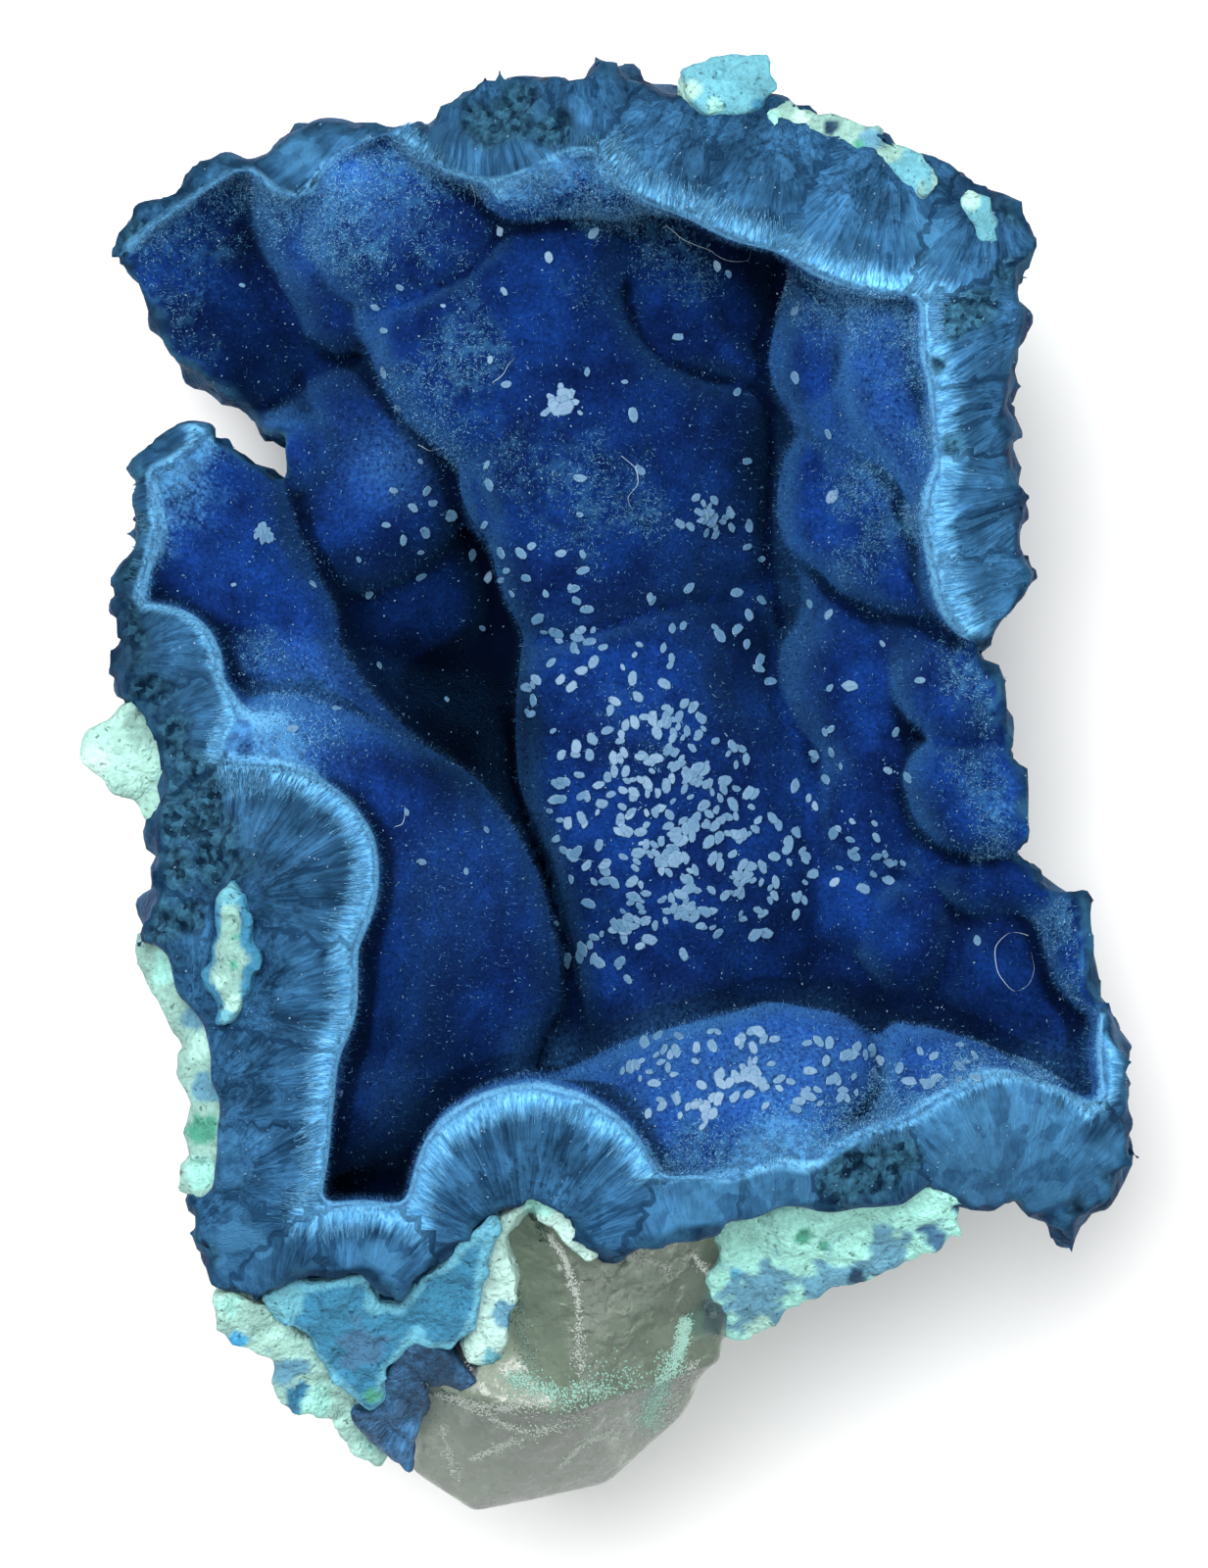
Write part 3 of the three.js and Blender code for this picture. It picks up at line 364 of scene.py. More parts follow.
def lumps(points, layers):
    """Noise in layers, each a size, a width and a seed, and the kind of noise if it isn't plain."""
    return sum(size * (*kind, noise)[0](points, width, seed) for size, width, seed, *kind in layers)


def ridges(points, width, seed):
    return 1 - 2 * np.abs(noise(points, width, seed))


def spread_from(points, x, y, radius):
    """How far the points are from x, y, seen from above, in radii."""
    return np.hypot(points[:, 0] - x, points[:, 1] - y) / radius


def patch_share(points, patch, end, soft, ragged=0):
    """1 in a patch (x, y, radius) and 0 outside it, where it ends so many radii out, softly and raggedly."""
    return np.clip((end - (spread_from(points, *patch) + ragged)) / soft, 0, 1)


# ---- outlines and heights ----
def hummocks(x, y, width):
    """The CAD's own wavy height."""
    k = 2 * math.pi / width
    first = np.sin(k * x + 1.7 * np.sin(0.6 * k * y)) * np.sin(k * y + 0.9)
    second = np.sin(1.9 * k * (x + y) + 2.1) * np.sin(1.7 * k * (x - y))
    return 0.65 * first + 0.35 * second


def near_mean(x, y, places, spread, far_share):
    """The mean of the places' heights, weighted by how near the places are."""
    total = np.zeros_like(x)
    weights = np.zeros_like(x)
    for px, py, height in places:
        d2 = (x - px) ** 2 + (y - py) ** 2
        weight = np.exp(-d2 / (2 * spread ** 2)) + far_share / (d2 + 4)
        total += weight * height
        weights += weight
    return total / weights


def break_height(x, y):
    return near_mean(x, y, BREAK, BREAK_SPREAD, BREAK_FAR)


def floor_height(x, y):
    return near_mean(x, y, FLOOR, FLOOR_SPREAD, FLOOR_FAR)


def smoothed(outline, passes):
    for _ in range(passes):
        mean = (np.roll(outline, 1, 0) + np.roll(outline, -1, 0)) / 2
        outline = (outline + mean) / 2
    return outline


def outline_distance(x, y, outline):
    """Signed distance from an outline, negative inside. Its points may have a place for each height."""
    best = None
    inside = None
    for i in range(len(outline)):
        ax, ay = outline[i - 1]
        bx, by = outline[i]
        ex, ey = bx - ax, by - ay
        wx, wy = x - ax, y - ay
        t = np.clip((wx * ex + wy * ey) / (ex * ex + ey * ey + TINY), 0, 1)
        d2 = (wx - t * ex) ** 2 + (wy - t * ey) ** 2
        crossing = (ay > y) != (by > y)
        left = crossing & (x < ex * wy / np.where(ey == 0, TINY, ey) + ax)
        best = d2 if best is None else np.minimum(best, d2)
        inside = left if inside is None else inside ^ left
    return np.where(inside, -1, 1) * np.sqrt(best)


def rim_outlines(zs):
    """The crust's outline at each height: it draws in towards a smaller, rounded base."""
    rim = np.array(RIM, float)
    base = (smoothed(rim, BASE_SMOOTHING) - MIDDLE) * BASE_SCALE + MIDDLE
    tops = break_height(rim[:, 0], rim[:, 1])
    level = np.clip(zs[None, :] / tops[:, None], 0, 1)
    drawn = 1 - (1 - level) ** WALL_CURVE
    at = base[:, :, None] * (1 - drawn[:, None]) + rim[:, :, None] * drawn[:, None]
    ring = np.interp(level, RING_LEVELS, range(len(RING_LEVELS)))
    knobs = hummocks(at[:, 0] + 3 * ring, at[:, 1] - 2 * ring, ROCK_WIDTH)
    rocky = (1 - level) * ROCK_SIZE * knobs * (ring > 0)
    out = at - MIDDLE[None, :, None]
    return at + out / np.linalg.norm(out, axis=1, keepdims=True) * rocky[:, None]


# ---- fields on a grid ----
class Grid:
    """A box of sample points, whose steps may differ along each axis."""

    def __init__(self, xs, ys, zs):
        self.axes = [np.asarray(a, np.float32) for a in (xs, ys, zs)]
        self.shape = tuple(len(a) for a in self.axes)

    def planes(self):
        xs, ys, zs = self.axes
        return xs[:, None, None], ys[None, :, None], zs[None, None, :]

    def points(self, mask):
        index = np.nonzero(mask)
        return np.stack([a[i] for a, i in zip(self.axes, index)], axis=-1)

    def window(self, lows, highs):
        """The part of the grid between two corners, as slices."""
        ends = zip(self.axes, lows, highs)
        return tuple(slice(*np.searchsorted(values, (low, high))) for values, low, high in ends)

    def part(self, window):
        return Grid(*[values[w] for values, w in zip(self.axes, window)])

    def sample(self, field, points):
        """The field at any points inside the box, by linear interpolation."""
        cells, parts = [], []
        for axis, values in enumerate(self.axes):
            at = np.interp(points[:, axis], values, np.arange(len(values)))
            cell = np.minimum(at.astype(int), len(values) - 2)
            cells.append(cell)
            parts.append(at - cell)
        result = 0
        for corner in np.ndindex(2, 2, 2):
            weight = 1
            for part, high in zip(parts, corner):
                weight = weight * (part if high else 1 - part)
            result = result + weight * field[tuple(c + h for c, h in zip(cells, corner))]
        return result

    def refine(self, field, coarse):
        """A field from a coarse grid, at this grid's points."""
        for axis, (new, old) in enumerate(zip(self.axes, coarse.axes)):
            at = np.interp(new, old, np.arange(len(old)))
            low = np.minimum(at.astype(int), len(old) - 2)
            part = (at - low).astype(np.float32)
            part = part.reshape([-1 if a == axis else 1 for a in range(3)])
            field = field.take(low, axis) * (1 - part) + field.take(low + 1, axis) * part
        return field


def smooth_max(a, b, radius):
    return np.maximum(a, b) + np.maximum(radius - np.abs(a - b), 0) ** 2 / (4 * radius)


def surface_net(grid, field):
    """Vertices and quads of the surface where the field crosses zero, facing its positive side."""
    inside = field < 0
    count = np.zeros([n - 1 for n in field.shape], np.int8)
    corners = list(np.ndindex(2, 2, 2))
    for i, j, k in corners:
        count += inside[i:i + count.shape[0], j:j + count.shape[1], k:k + count.shape[2]]
    cells = np.stack(np.nonzero((count > 0) & (count < 8)), axis=-1)
    value = {c: field[tuple((cells + c).T)] for c in corners}
    total = np.zeros((len(cells), 3))
    crossings = np.zeros(len(cells))
    for axis in range(3):
        for c in corners:
            if c[axis]:
                continue
            d = tuple(v + (a == axis) for a, v in enumerate(c))
            low, high = value[c], value[d]
            cut = (low < 0) != (high < 0)
            part = np.where(cut, low / np.where(cut, low - high, 1), 0)
            place = np.array(c, float)[None] + part[:, None] * np.eye(3)[axis]
            total += place * cut[:, None]
            crossings += cut
    at = cells + total / crossings[:, None]
    vertices = np.stack([np.interp(at[:, a], np.arange(len(v)), v) for a, v in enumerate(grid.axes)], axis=-1)
    number = np.full(count.shape, -1, np.int32)
    number[tuple(cells.T)] = np.arange(len(cells))
    quads = []
    for axis in range(3):
        u, v = [(1, 2), (2, 0), (0, 1)][axis]
        lower = np.take(inside, range(inside.shape[axis] - 1), axis)
        upper = np.take(inside, range(1, inside.shape[axis]), axis)
        for facing, edges in ((1, lower & ~upper), (-1, ~lower & upper)):
            e = np.stack(np.nonzero(edges), axis=-1)
            e = e[(e[:, u] > 0) & (e[:, v] > 0) & (e[:, u] < count.shape[u]) & (e[:, v] < count.shape[v])]
            steps = [(0, 0), (-1, 0), (-1, -1), (0, -1)][::facing]
            ring = []
            for du, dv in steps:
                c = e.copy()
                c[:, u] += du
                c[:, v] += dv
                ring.append(number[tuple(c.T)])
            quads.append(np.stack(ring, axis=-1))
    return vertices, np.concatenate(quads)


def edges_of(quads):
    pairs = np.concatenate([np.stack([quads[:, i], quads[:, (i + 1) % 4]], -1) for i in range(4)])
    return np.unique(np.sort(pairs, axis=1), axis=0)


def largest_piece(vertices, quads):
    """The mesh without loose crumbs: each vertex takes the lowest number it is linked to."""
    edges = edges_of(quads)
    label = np.arange(len(vertices))
    while True:
        low = np.minimum(label[edges[:, 0]], label[edges[:, 1]])
        new = label.copy()
        for end in (0, 1):
            np.minimum.at(new, edges[:, end], low)
        new = new[new]
        if (new == label).all():
            break
        label = new
    kept = label == np.bincount(label).argmax()
    number = np.cumsum(kept) - 1
    return vertices[kept], number[quads[kept[quads[:, 0]]]]


def meshed(grid, field):
    return largest_piece(*surface_net(grid, field))


def relaxed(vertices, quads, amount):
    """Evens out the grid's steps by moving each vertex towards its neighbours' middle."""
    edges = edges_of(quads)
    links = np.bincount(edges.ravel(), minlength=len(vertices))[:, None]
    total = np.zeros_like(vertices)
    for axis in range(3):
        for end in (0, 1):
            total[:, axis] += np.bincount(edges[:, end], vertices[edges[:, 1 - end], axis], len(vertices))
    return vertices + amount * (total / links - vertices)


def new_object(name, data):
    made = bpy.data.objects.new(name, data)
    bpy.context.collection.objects.link(made)
    return made


def thinned(vertices, quads, hidden, share):
    """The mesh as triangles, with fewer of them where it is hidden."""
    mesh = bpy.data.meshes.new("dense")
    mesh.from_pydata(vertices.tolist(), [], quads.tolist())
    piece = new_object("dense", mesh)
    piece.vertex_groups.new(name="hidden").add(np.nonzero(hidden)[0].tolist(), 1.0, "REPLACE")
    change = piece.modifiers.new("fewer", "DECIMATE")
    change.ratio = share
    change.vertex_group = "hidden"
    thin = bpy.data.meshes.new_from_object(piece.evaluated_get(bpy.context.evaluated_depsgraph_get()))
    thin.calc_loop_triangles()
    places = np.empty(3 * len(thin.vertices), np.float32)
    corners = np.empty(3 * len(thin.loop_triangles), np.int32)
    thin.vertices.foreach_get("co", places)
    thin.loop_triangles.foreach_get("vertices", corners)
    bpy.data.objects.remove(piece)
    for used in (mesh, thin):
        bpy.data.meshes.remove(used)
    return places.reshape(-1, 3).astype(float), corners.reshape(-1, 3)


def vertex_normals(vertices, quads):
    a, b, c, d = (vertices[quads[:, i]] for i in range(4))
    face = np.cross(c - a, d - b)
    normal = np.zeros_like(vertices)
    for axis in range(3):
        for i in range(4):
            normal[:, axis] += np.bincount(quads[:, i], face[:, axis], len(vertices))
    return normal / (np.linalg.norm(normal, axis=1, keepdims=True) + 1e-12)


def make_mesh(name, vertices, faces, materials):
    """An object of its own from vertices in millimetres."""
    mesh = bpy.data.meshes.new(name)
    mesh.from_pydata((np.asarray(vertices) * MM).tolist(), [], np.asarray(faces).tolist())
    mesh.shade_smooth()
    for material in materials:
        mesh.materials.append(material)
    mesh.update()
    return new_object(name, mesh)


def give_values(piece, name, values):
    """Stores a number or a vector at every vertex, for the materials to read."""
    values = np.asarray(values, np.float32)
    kind, key = ("FLOAT", "value") if values.ndim == 1 else ("FLOAT_VECTOR", "vector")
    piece.data.attributes.new(name, kind, "POINT").data.foreach_set(key, values.ravel())


def give_paint(piece, colours):
    """Stores a colour at every vertex."""
    values = np.concatenate([colours, np.ones((len(colours), 1))], axis=1).astype(np.float32)
    piece.data.attributes.new("paint", "FLOAT_COLOR", "POINT").data.foreach_set("color", values.ravel())


def blend_colours(first, second, share):
    return np.array(first) * (1 - share[:, None]) + np.array(second) * share[:, None]


# ---- the crust ----
CRUST_ENDS = [(-22.8, 23.7), (-24.0, 31.8), (-0.9, 31.2)]   # the box of its grid along x, y and z
LOBE_BLEND = 0.3        # how far neighbouring lobes run into each other
SHEET_SPREAD = 2.2      # how far round itself each height of a sheet counts, and how much farther away
SHEET_FAR = 0.01
REACH = 3.0             # how far round a lobe its distance is worked out
RIM_REACH = 3           # and how much farther for a lobe on the rim
NEIGHBOUR_OVERLAP = 0.2     # how far the crust reaches into the gap round a slab
RELAXED = 0.4           # how far each vertex moves to its neighbours' middle
EDGE_ROUND = 0.12       # how round the crust's broken edges are
HIDDEN_SHARE = 0.68     # how many of the crust's triangles are left once its hidden sides are thinned
HIDDEN_OUTSIDE = -0.6   # hidden: farther out than this, and lower under the broken face than this
HIDDEN_BELOW = -1.5
# Noise in layers, each a size, a width and a seed.
PATCH_LUMPS = [(0.4, 1.1, 41)]
BLADES = [(0.20, 0.17, 6), (0.12, 0.09, 7)]
BLADE_CHANGES = [(0.010, 0.013, 0.008), (0.013, 0.008, 0.010)]      # how fast each changes along a blade
# The same, after how far from the surface it reaches.
VELVET_RELIEF = (1.2, [(0.16, 2.6, 1), (0.06, 1.1, 2)])
OUTSIDE_RELIEF = (1.6, [(0.30, 3.0, 3), (0.28, 1.5, 4, ridges), (0.24, 0.65, 5), (0.16, 0.8, 6, ridges)])
BREAK_REACH = 0.8       # how far the broken face's own relief reaches
BREAK_WAVES = 0.25      # height and width of the waves on the broken face
BREAK_WAVE_WIDTH = 5
OUTSIDE_BLADES = 0.8    # how much of the blades' relief the outside has
RECESS_REACH = 2.4      # how wide the surroundings are that a recess and a fold lie below
FOLD_REACH = 0.6
# Where the broken face is dark and crumbly: x, y, radius.
CRUMBLY = [
    (-19.6, 12.2, 0.9), (-19.4, 10.4, 0.8), (-19.6, 8.8, 0.8), (-19.6, 7.2, 0.9), (-19.6, 5.4, 1.4),
    (-18.6, 3.6, 1.3), (-17.6, 2, 1.2), (-16.6, 0.4, 1.3), (-17, -1.4, 1.6), (-15.6, -3, 1.5),
    (-17.4, -3.4, 1.4), (-18, -5.4, 1.2), (-16.8, -5.4, 0.8), (-3.6, 27.2, 1.5), (-5, 27, 1),
    (-2.2, 26.8, 0.9), (10.8, -15.6, 1.6), (9.6, -16.6, 1.2), (12.4, -15, 0.9), (14.2, 19, 0.9),
    (15.4, 19.4, 1), (13.5, 17, 0.45), (14.2, 13.7, 0.5), (-16.2, -19.2, 0.8), (-12.4, -21, 0.6),
    (-19.4, 22.6, 0.8), (16.6, 20.8, 0.8), (16.8, 23.4, 0.8), (12.6, 26, 0.7), (19.6, -18, 1),
    (21.2, -16.6, 0.8),
]
# Where the pale band is narrower: x, y, radius, how many times.
NARROW_BANDS = [
    (3.6, -17.6, 2, 2.8), (6.8, -17, 2.6, 3.2), (10, -16.4, 2.6, 3.2), (-19, 23, 2.6, 4), (-16.4, 25, 2.4, 4),
    (-13.4, 25.8, 2.4, 4), (-10.6, 26.6, 1.8, 4), (-19.4, 10.4, 3.4, 2.4), (-18.6, 13.6, 1.8, 2.4),
    (-3.6, 25.6, 3.2, 3), (-19, 3.6, 3, 1.9), (-16.8, 5.4, 2.6, 1.9), (16, -12.6, 4.5, 2), (20, -15, 3, 1.6),
]
# Where the broken face is blocky, with hardly any fibres to see: x, y, radius.
BLOCKY = [
    (16.4, -15.4, 3.6), (19.4, -16.6, 2.4), (4.4, -17.6, 2.2), (7.6, -17.2, 2.2), (-15.2, -15, 1.2),
    (-14.8, -19, 1.6), (13.4, 22.6, 1.2), (-9, -19.6, 1.2), (-13, 26.2, 1.6),
]
# Painted light and shade: where the velvet and its broken fibres are painted darker, as shade, or paler, as
# light: x, y, radius, how many times.
LIGHT_AND_SHADE_PATCHES = [
    (-16.4, 20.8, 2.6, 0.5), (-14.2, 17.6, 2, 0.4), (-17.4, 17.6, 1.6, 0.8), (-15.4, 15.6, 1.4, 0.5),
    (-10.6, 13, 3, 1.25), (-7.4, 8.6, 1.8, 0.6), (-5.2, 2.2, 2.6, 0.12), (-4.4, 7.2, 1.6, 0.7),
    (-7.2, 5.4, 1.6, 0.4), (-9.6, 23.8, 2.4, 1.6), (-17.2, 24.9, 2, 0.8), (-14.8, 25.7, 1.4, 0.6),
    (-12.8, 21.6, 1.5, 1.5), (-1, 21, 3.4, 0.8), (0.6, 16, 3, 0.85), (2, 10, 3.4, 0.9), (4, 20, 2.2, 0.8),
    (-3, 12.4, 3.4, 0.8), (-6.8, -4.6, 3, 1.25), (-9.4, -8.8, 2.4, 0.8),
    (15.6, -7.6, 3.2, 0.8), (-14.6, 21.8, 1, 0.6), (-8.6, -12.6, 2, 1.4), (-11.2, 1.6, 2, 1.4),
    (-16.8, 10, 2.6, 1.15), (5.6, 13.6, 1.6, 0.7), (9, 9.4, 1.6, 1.2), (3.2, -12, 3.4, 1.75),
    (8.4, -11.6, 3, 1.8), (-2.6, -11.2, 1.8, 1.7), (13.6, -11.6, 2.6, 1.5), (18, -13.4, 2.4, 1.4),
    (-13.4, 2.2, 1.6, 1.4), (15.6, 18, 2.4, 1.3), (12.8, 22.4, 1.6, 1.15), (-12.4, -5.4, 3, 0.78),
    (-8, 12.6, 1.8, 1.35), (15.6, -15.4, 3.2, 0.8), (19.6, -15.6, 2.2, 0.8), (-19.6, 8, 2.2, 0.7),
    (-19.2, 4.4, 1.8, 0.7), (8.6, 24.4, 2, 1.35), (-10.4, 25.2, 1, 1.8), (-9, 13.6, 2, 1.2),
    (8, -17.4, 2.4, 0.75), (11, 18.8, 2.8, 1.8), (11.6, 14, 2.4, 1.6), (-12.2, 4.2, 2.2, 1.7),
    (-18.6, 20.8, 1.6, 1.5), (18.2, -11.2, 1.8, 1.3), (15, 4, 2, 1.25),
]
NARROWEST = 5
BAND_DULL = 0.3         # how much duller the pale band is where it is narrower
RECESS_OUTSIDE = 6.0    # how high the surroundings count as where there is no crust
FAN_SHIFT = 2.0         # how far outside a rim lobe's middle its fibres start


def crease_depth(x, y, creases):
    """How far the creases lower the top of a sheet at x, y."""
    total = np.zeros_like(x)
    for depth, width, points in creases:
        far = np.abs(outline_distance(x, y, np.array(points + points[-2:0:-1], float)))
        total = np.maximum(total, depth * np.exp(-far / width))
    return total


def sheet_distance(x, y, z, sheet):
    """Distance to a broad body of velvet, whose top turns down round its outline."""
    top = near_mean(x, y, sheet["heights"], SHEET_SPREAD, SHEET_FAR)
    top -= crease_depth(x, y, sheet.get("creases", []))
    side = outline_distance(x, y, np.array(sheet["outline"]))
    return smooth_max(side[:, :, None], z - top[:, :, None], sheet["round"])


def lobe_distance(part, lobe):
    """Distance to a lobe: an ellipsoid above its middle, on a stem of its own width."""
    x, y, z = part.planes()
    lx, ly, lz, a, b, c = lobe
    above = np.maximum(z - lz, 0)
    ratio = np.sqrt(((x - lx) / a) ** 2 + ((y - ly) / b) ** 2 + (above / c) ** 2)
    slope = np.sqrt(((x - lx) / a ** 2) ** 2 + ((y - ly) / b ** 2) ** 2 + (above / c ** 2) ** 2)
    return ratio * (ratio - 1) / np.maximum(slope, 1e-6)


def matter_field(grid):
    """Distance to the velvet, negative inside the crust, and the number of the nearest lobe."""
    x, y, z = grid.planes()
    flat_x = np.broadcast_to(x[:, :, 0], grid.shape[:2])
    flat_y = np.broadcast_to(y[:, :, 0], grid.shape[:2])

    def closeness(distance):
        return np.exp(-np.clip(distance, -FAR, FAR) / LOBE_BLEND)

    wall = -outline_distance(flat_x, flat_y, np.array(SHAFT))
    floor = z - floor_height(flat_x, flat_y)[:, :, None]
    total = closeness(wall)[:, :, None] + closeness(floor)
    nearest = np.full(grid.shape, FAR, np.float32)
    owner = np.zeros(grid.shape, np.int16)
    for number, lobe in enumerate(LOBES + RIM_LOBES):
        middle, sizes = np.array(lobe[:3]), np.array(lobe[3:])
        reach = sizes + REACH + (RIM_REACH if number >= len(LOBES) else 0)
        window = grid.window([*(middle - reach)[:2], -np.inf], middle + reach)
        distance = np.clip(lobe_distance(grid.part(window), lobe), -FAR, FAR)
        total[window] += closeness(distance)
        closer = distance < nearest[window]
        nearest[window] = np.where(closer, distance, nearest[window])
        owner[window] = np.where(closer, number, owner[window])
    for sheet in SHEETS:
        outline = np.array(sheet["outline"])
        window = grid.window(outline.min(0) - REACH, outline.max(0) + REACH)
        total[window] += closeness(sheet_distance(flat_x[window], flat_y[window], z, sheet))
    furrows = crease_depth(flat_x, flat_y, FURROWS)[:, :, None]
    return (furrows - LOBE_BLEND * np.log(total)).astype(np.float32), owner


def outside_field(grid):
    """Distance to the crust's rocky outside and flat base, negative inside."""
    coarse = Grid(*[np.arange(values[0], values[-1] + COARSE, COARSE) for values in grid.axes])
    x, y, _ = coarse.planes()
    walls = outline_distance(x, y, rim_outlines(coarse.axes[2]))
    base = -grid.planes()[2]
    outside = np.maximum(grid.refine(walls.astype(np.float32), coarse), base)
    roughen(grid, outside, OUTSIDE_RELIEF)
    return np.maximum(outside, base)


def cut_neighbours(grid, field):
    """Makes room in the crust for the slabs that grow on it: those over it leave the way up open too."""
    for slab in SLABS.values():
        own = slab_grid(slab, 1.0)
        under = slab.get("under")
        lows, highs = zip(*[(values[0], values[-1]) for values in own.axes])
        window = grid.window(lows, highs if under else (*highs[:2], np.inf))
        room = (slab_field if under else slab_shaft)(grid.part(window), slab)
        field[window] = np.maximum(field[window], -room - NEIGHBOUR_OVERLAP)


def roughen(grid, field, relief):
    """Adds relief to a field near its surface."""
    reach, layers = relief
    near = np.abs(field) < reach
    field[near] += lumps(grid.points(near), layers)


def break_field(grid):
    """Distance to the broken face, negative under it."""
    flat_x, flat_y = np.meshgrid(grid.axes[0], grid.axes[1], indexing="ij")
    top = break_height(flat_x, flat_y)
    top += BREAK_WAVES * hummocks(flat_x, flat_y, BREAK_WAVE_WIDTH)
    slope_x, slope_y = np.gradient(top, VOXEL)
    return (grid.planes()[2] - top[:, :, None]) / np.sqrt(1 + slope_x ** 2 + slope_y ** 2)[:, :, None]


def crust_fields(grid):
    """The fields that bound the crust, with their relief, and where the fibres round each point start."""
    matter, owner = matter_field(grid)
    roughen(grid, matter, VELVET_RELIEF)
    outside = outside_field(grid)
    broken = break_field(grid)
    centres = fan_centres(np.array(LOBES + RIM_LOBES))
    near = (np.abs(broken) < BREAK_REACH) & (matter < 0.3) & (outside < 1)
    at = grid.points(near)
    crumbly = patches_at(at, CRUMBLY)
    broken[near] += blade_relief(at, centres[owner[near]], matter[near]) * (1 - crumbly)
    broken[near] += crumbly * (0.55 * np.abs(noise(at, 1.1, 8)) + 0.35 * noise(at, 0.7, 9))
    near = (np.abs(outside) < BREAK_REACH) & (broken < 0.6) & (broken > -4)
    outside[near] += OUTSIDE_BLADES * blade_relief(grid.points(near), centres[owner[near]], matter[near])
    return matter, broken, outside, centres, owner


def build_crust():
    """The crust's vertices, its triangles, and what its material reads at each vertex."""
    xs, ys = (np.arange(*ends, VOXEL) for ends in CRUST_ENDS[:2])
    bottom, top = CRUST_ENDS[2]
    zs = np.concatenate([np.arange(bottom, DEEP_TOP, DEEP_VOXEL), np.arange(DEEP_TOP, top, VOXEL)])
    grid = Grid(xs, ys, zs)
    matter, broken, outside, centres, owner = crust_fields(grid)
    field = smooth_max(smooth_max(matter, broken, EDGE_ROUND), outside, EDGE_ROUND)
    cut_neighbours(grid, field)
    vertices, quads = meshed(grid, field)
    vertices = relaxed(vertices, quads, RELAXED)
    hidden = grid.sample(outside, vertices) > HIDDEN_OUTSIDE
    hidden &= grid.sample(broken, vertices) < HIDDEN_BELOW
    vertices, faces = thinned(vertices, quads, hidden, HIDDEN_SHARE)
    depth = -grid.sample(matter, vertices)
    scale = band_scale(vertices)
    cells = [np.clip(np.rint(np.interp(vertices[:, a], v, np.arange(len(v)))), 0, len(v) - 1).astype(int)
             for a, v in enumerate(grid.axes)]
    return vertices, faces, {
        "depth": depth, "band": depth * scale + BAND_DULL * (scale - 1),
        "broken": grid.sample(broken, vertices), "outer": grid.sample(outside, vertices),
        "fan": centres[owner[tuple(cells)]],
        "recess": recess_at(grid, field, vertices, RECESS_REACH),
        "fold": recess_at(grid, field, vertices, FOLD_REACH),
        "rough": patches_at(vertices, CRUMBLY), "blocky": patches_at(vertices, BLOCKY),
        "shade": painted_light_and_shade_at(vertices),
    }


def patches_at(points, patches):
    """1 in the patches (x, y, radius), 0 outside them, with ragged edges."""
    ragged = lumps(points, PATCH_LUMPS)
    result = np.zeros(len(points))
    for patch in patches:
        result = np.maximum(result, patch_share(points, patch, end=1.1, soft=0.4, ragged=ragged))
    return result


def recess_at(grid, field, vertices, width):
    """How far each vertex lies below its surroundings, in millimetres."""
    solid = field < 0
    tops = grid.axes[2][solid.shape[2] - 1 - np.argmax(solid[:, :, ::-1], axis=2)]
    tops = np.where(solid.any(axis=2), tops, RECESS_OUTSIDE)
    reach = max(int(width / VOXEL), 1)
    across = 2 * reach + 1
    for axis in (0, 1, 0, 1):
        margins = [(reach + 1, reach) if a == axis else (0, 0) for a in (0, 1)]
        sums = np.cumsum(np.pad(tops, margins, mode="edge"), axis)
        low, high = (np.take(sums, np.arange(tops.shape[axis]) + start, axis) for start in (0, across))
        tops = (high - low) / across
    flat = Grid(grid.axes[0], grid.axes[1], [0, 1])
    around = flat.sample(np.repeat(tops[:, :, None], 2, axis=2), vertices * [1, 1, 0])
    return around - vertices[:, 2]


def painted_light_and_shade_at(points):
    """How much paler or darker than elsewhere the velvet is painted at each point: painted light and painted
    shade.
    """
    shade = np.ones(len(points))
    for *patch, factor in LIGHT_AND_SHADE_PATCHES:
        shade *= factor ** np.exp(-spread_from(points, *patch) ** 3)
    return shade


def band_scale(points):
    """How much narrower than elsewhere the pale band is at each point."""
    scale = np.ones(len(points))
    for *patch, factor in NARROW_BANDS:
        scale += (factor - 1) * patch_share(points, patch, end=1.3, soft=0.6) * (scale < factor)
    return np.minimum(scale, NARROWEST)


def blade_relief(at, fan, matter):
    """Ridges of broken blades that run out from the fans' centres; the fine tips are left level."""
    away = at - fan
    far = np.linalg.norm(away, axis=1, keepdims=True)
    ray = away / far
    relief = sum(size * noise(ray + far * change, width, seed)
                 for (size, width, seed), change in zip(BLADES, np.array(BLADE_CHANGES)))
    return relief * np.clip((-matter - 0.8) / 1.2, 0.15, 1)


def fan_centres(lobes):
    """Where each lobe's fibres start: its middle, or on the rim a place farther out."""
    centres = lobes[:, :3].copy()
    out = centres[:, :2] - MIDDLE
    out /= np.linalg.norm(out, axis=1, keepdims=True)
    on_rim = np.arange(len(lobes)) >= len(LOBES)
    centres[:, :2] += out * np.where(on_rim, FAN_SHIFT, 0)[:, None]
    return centres


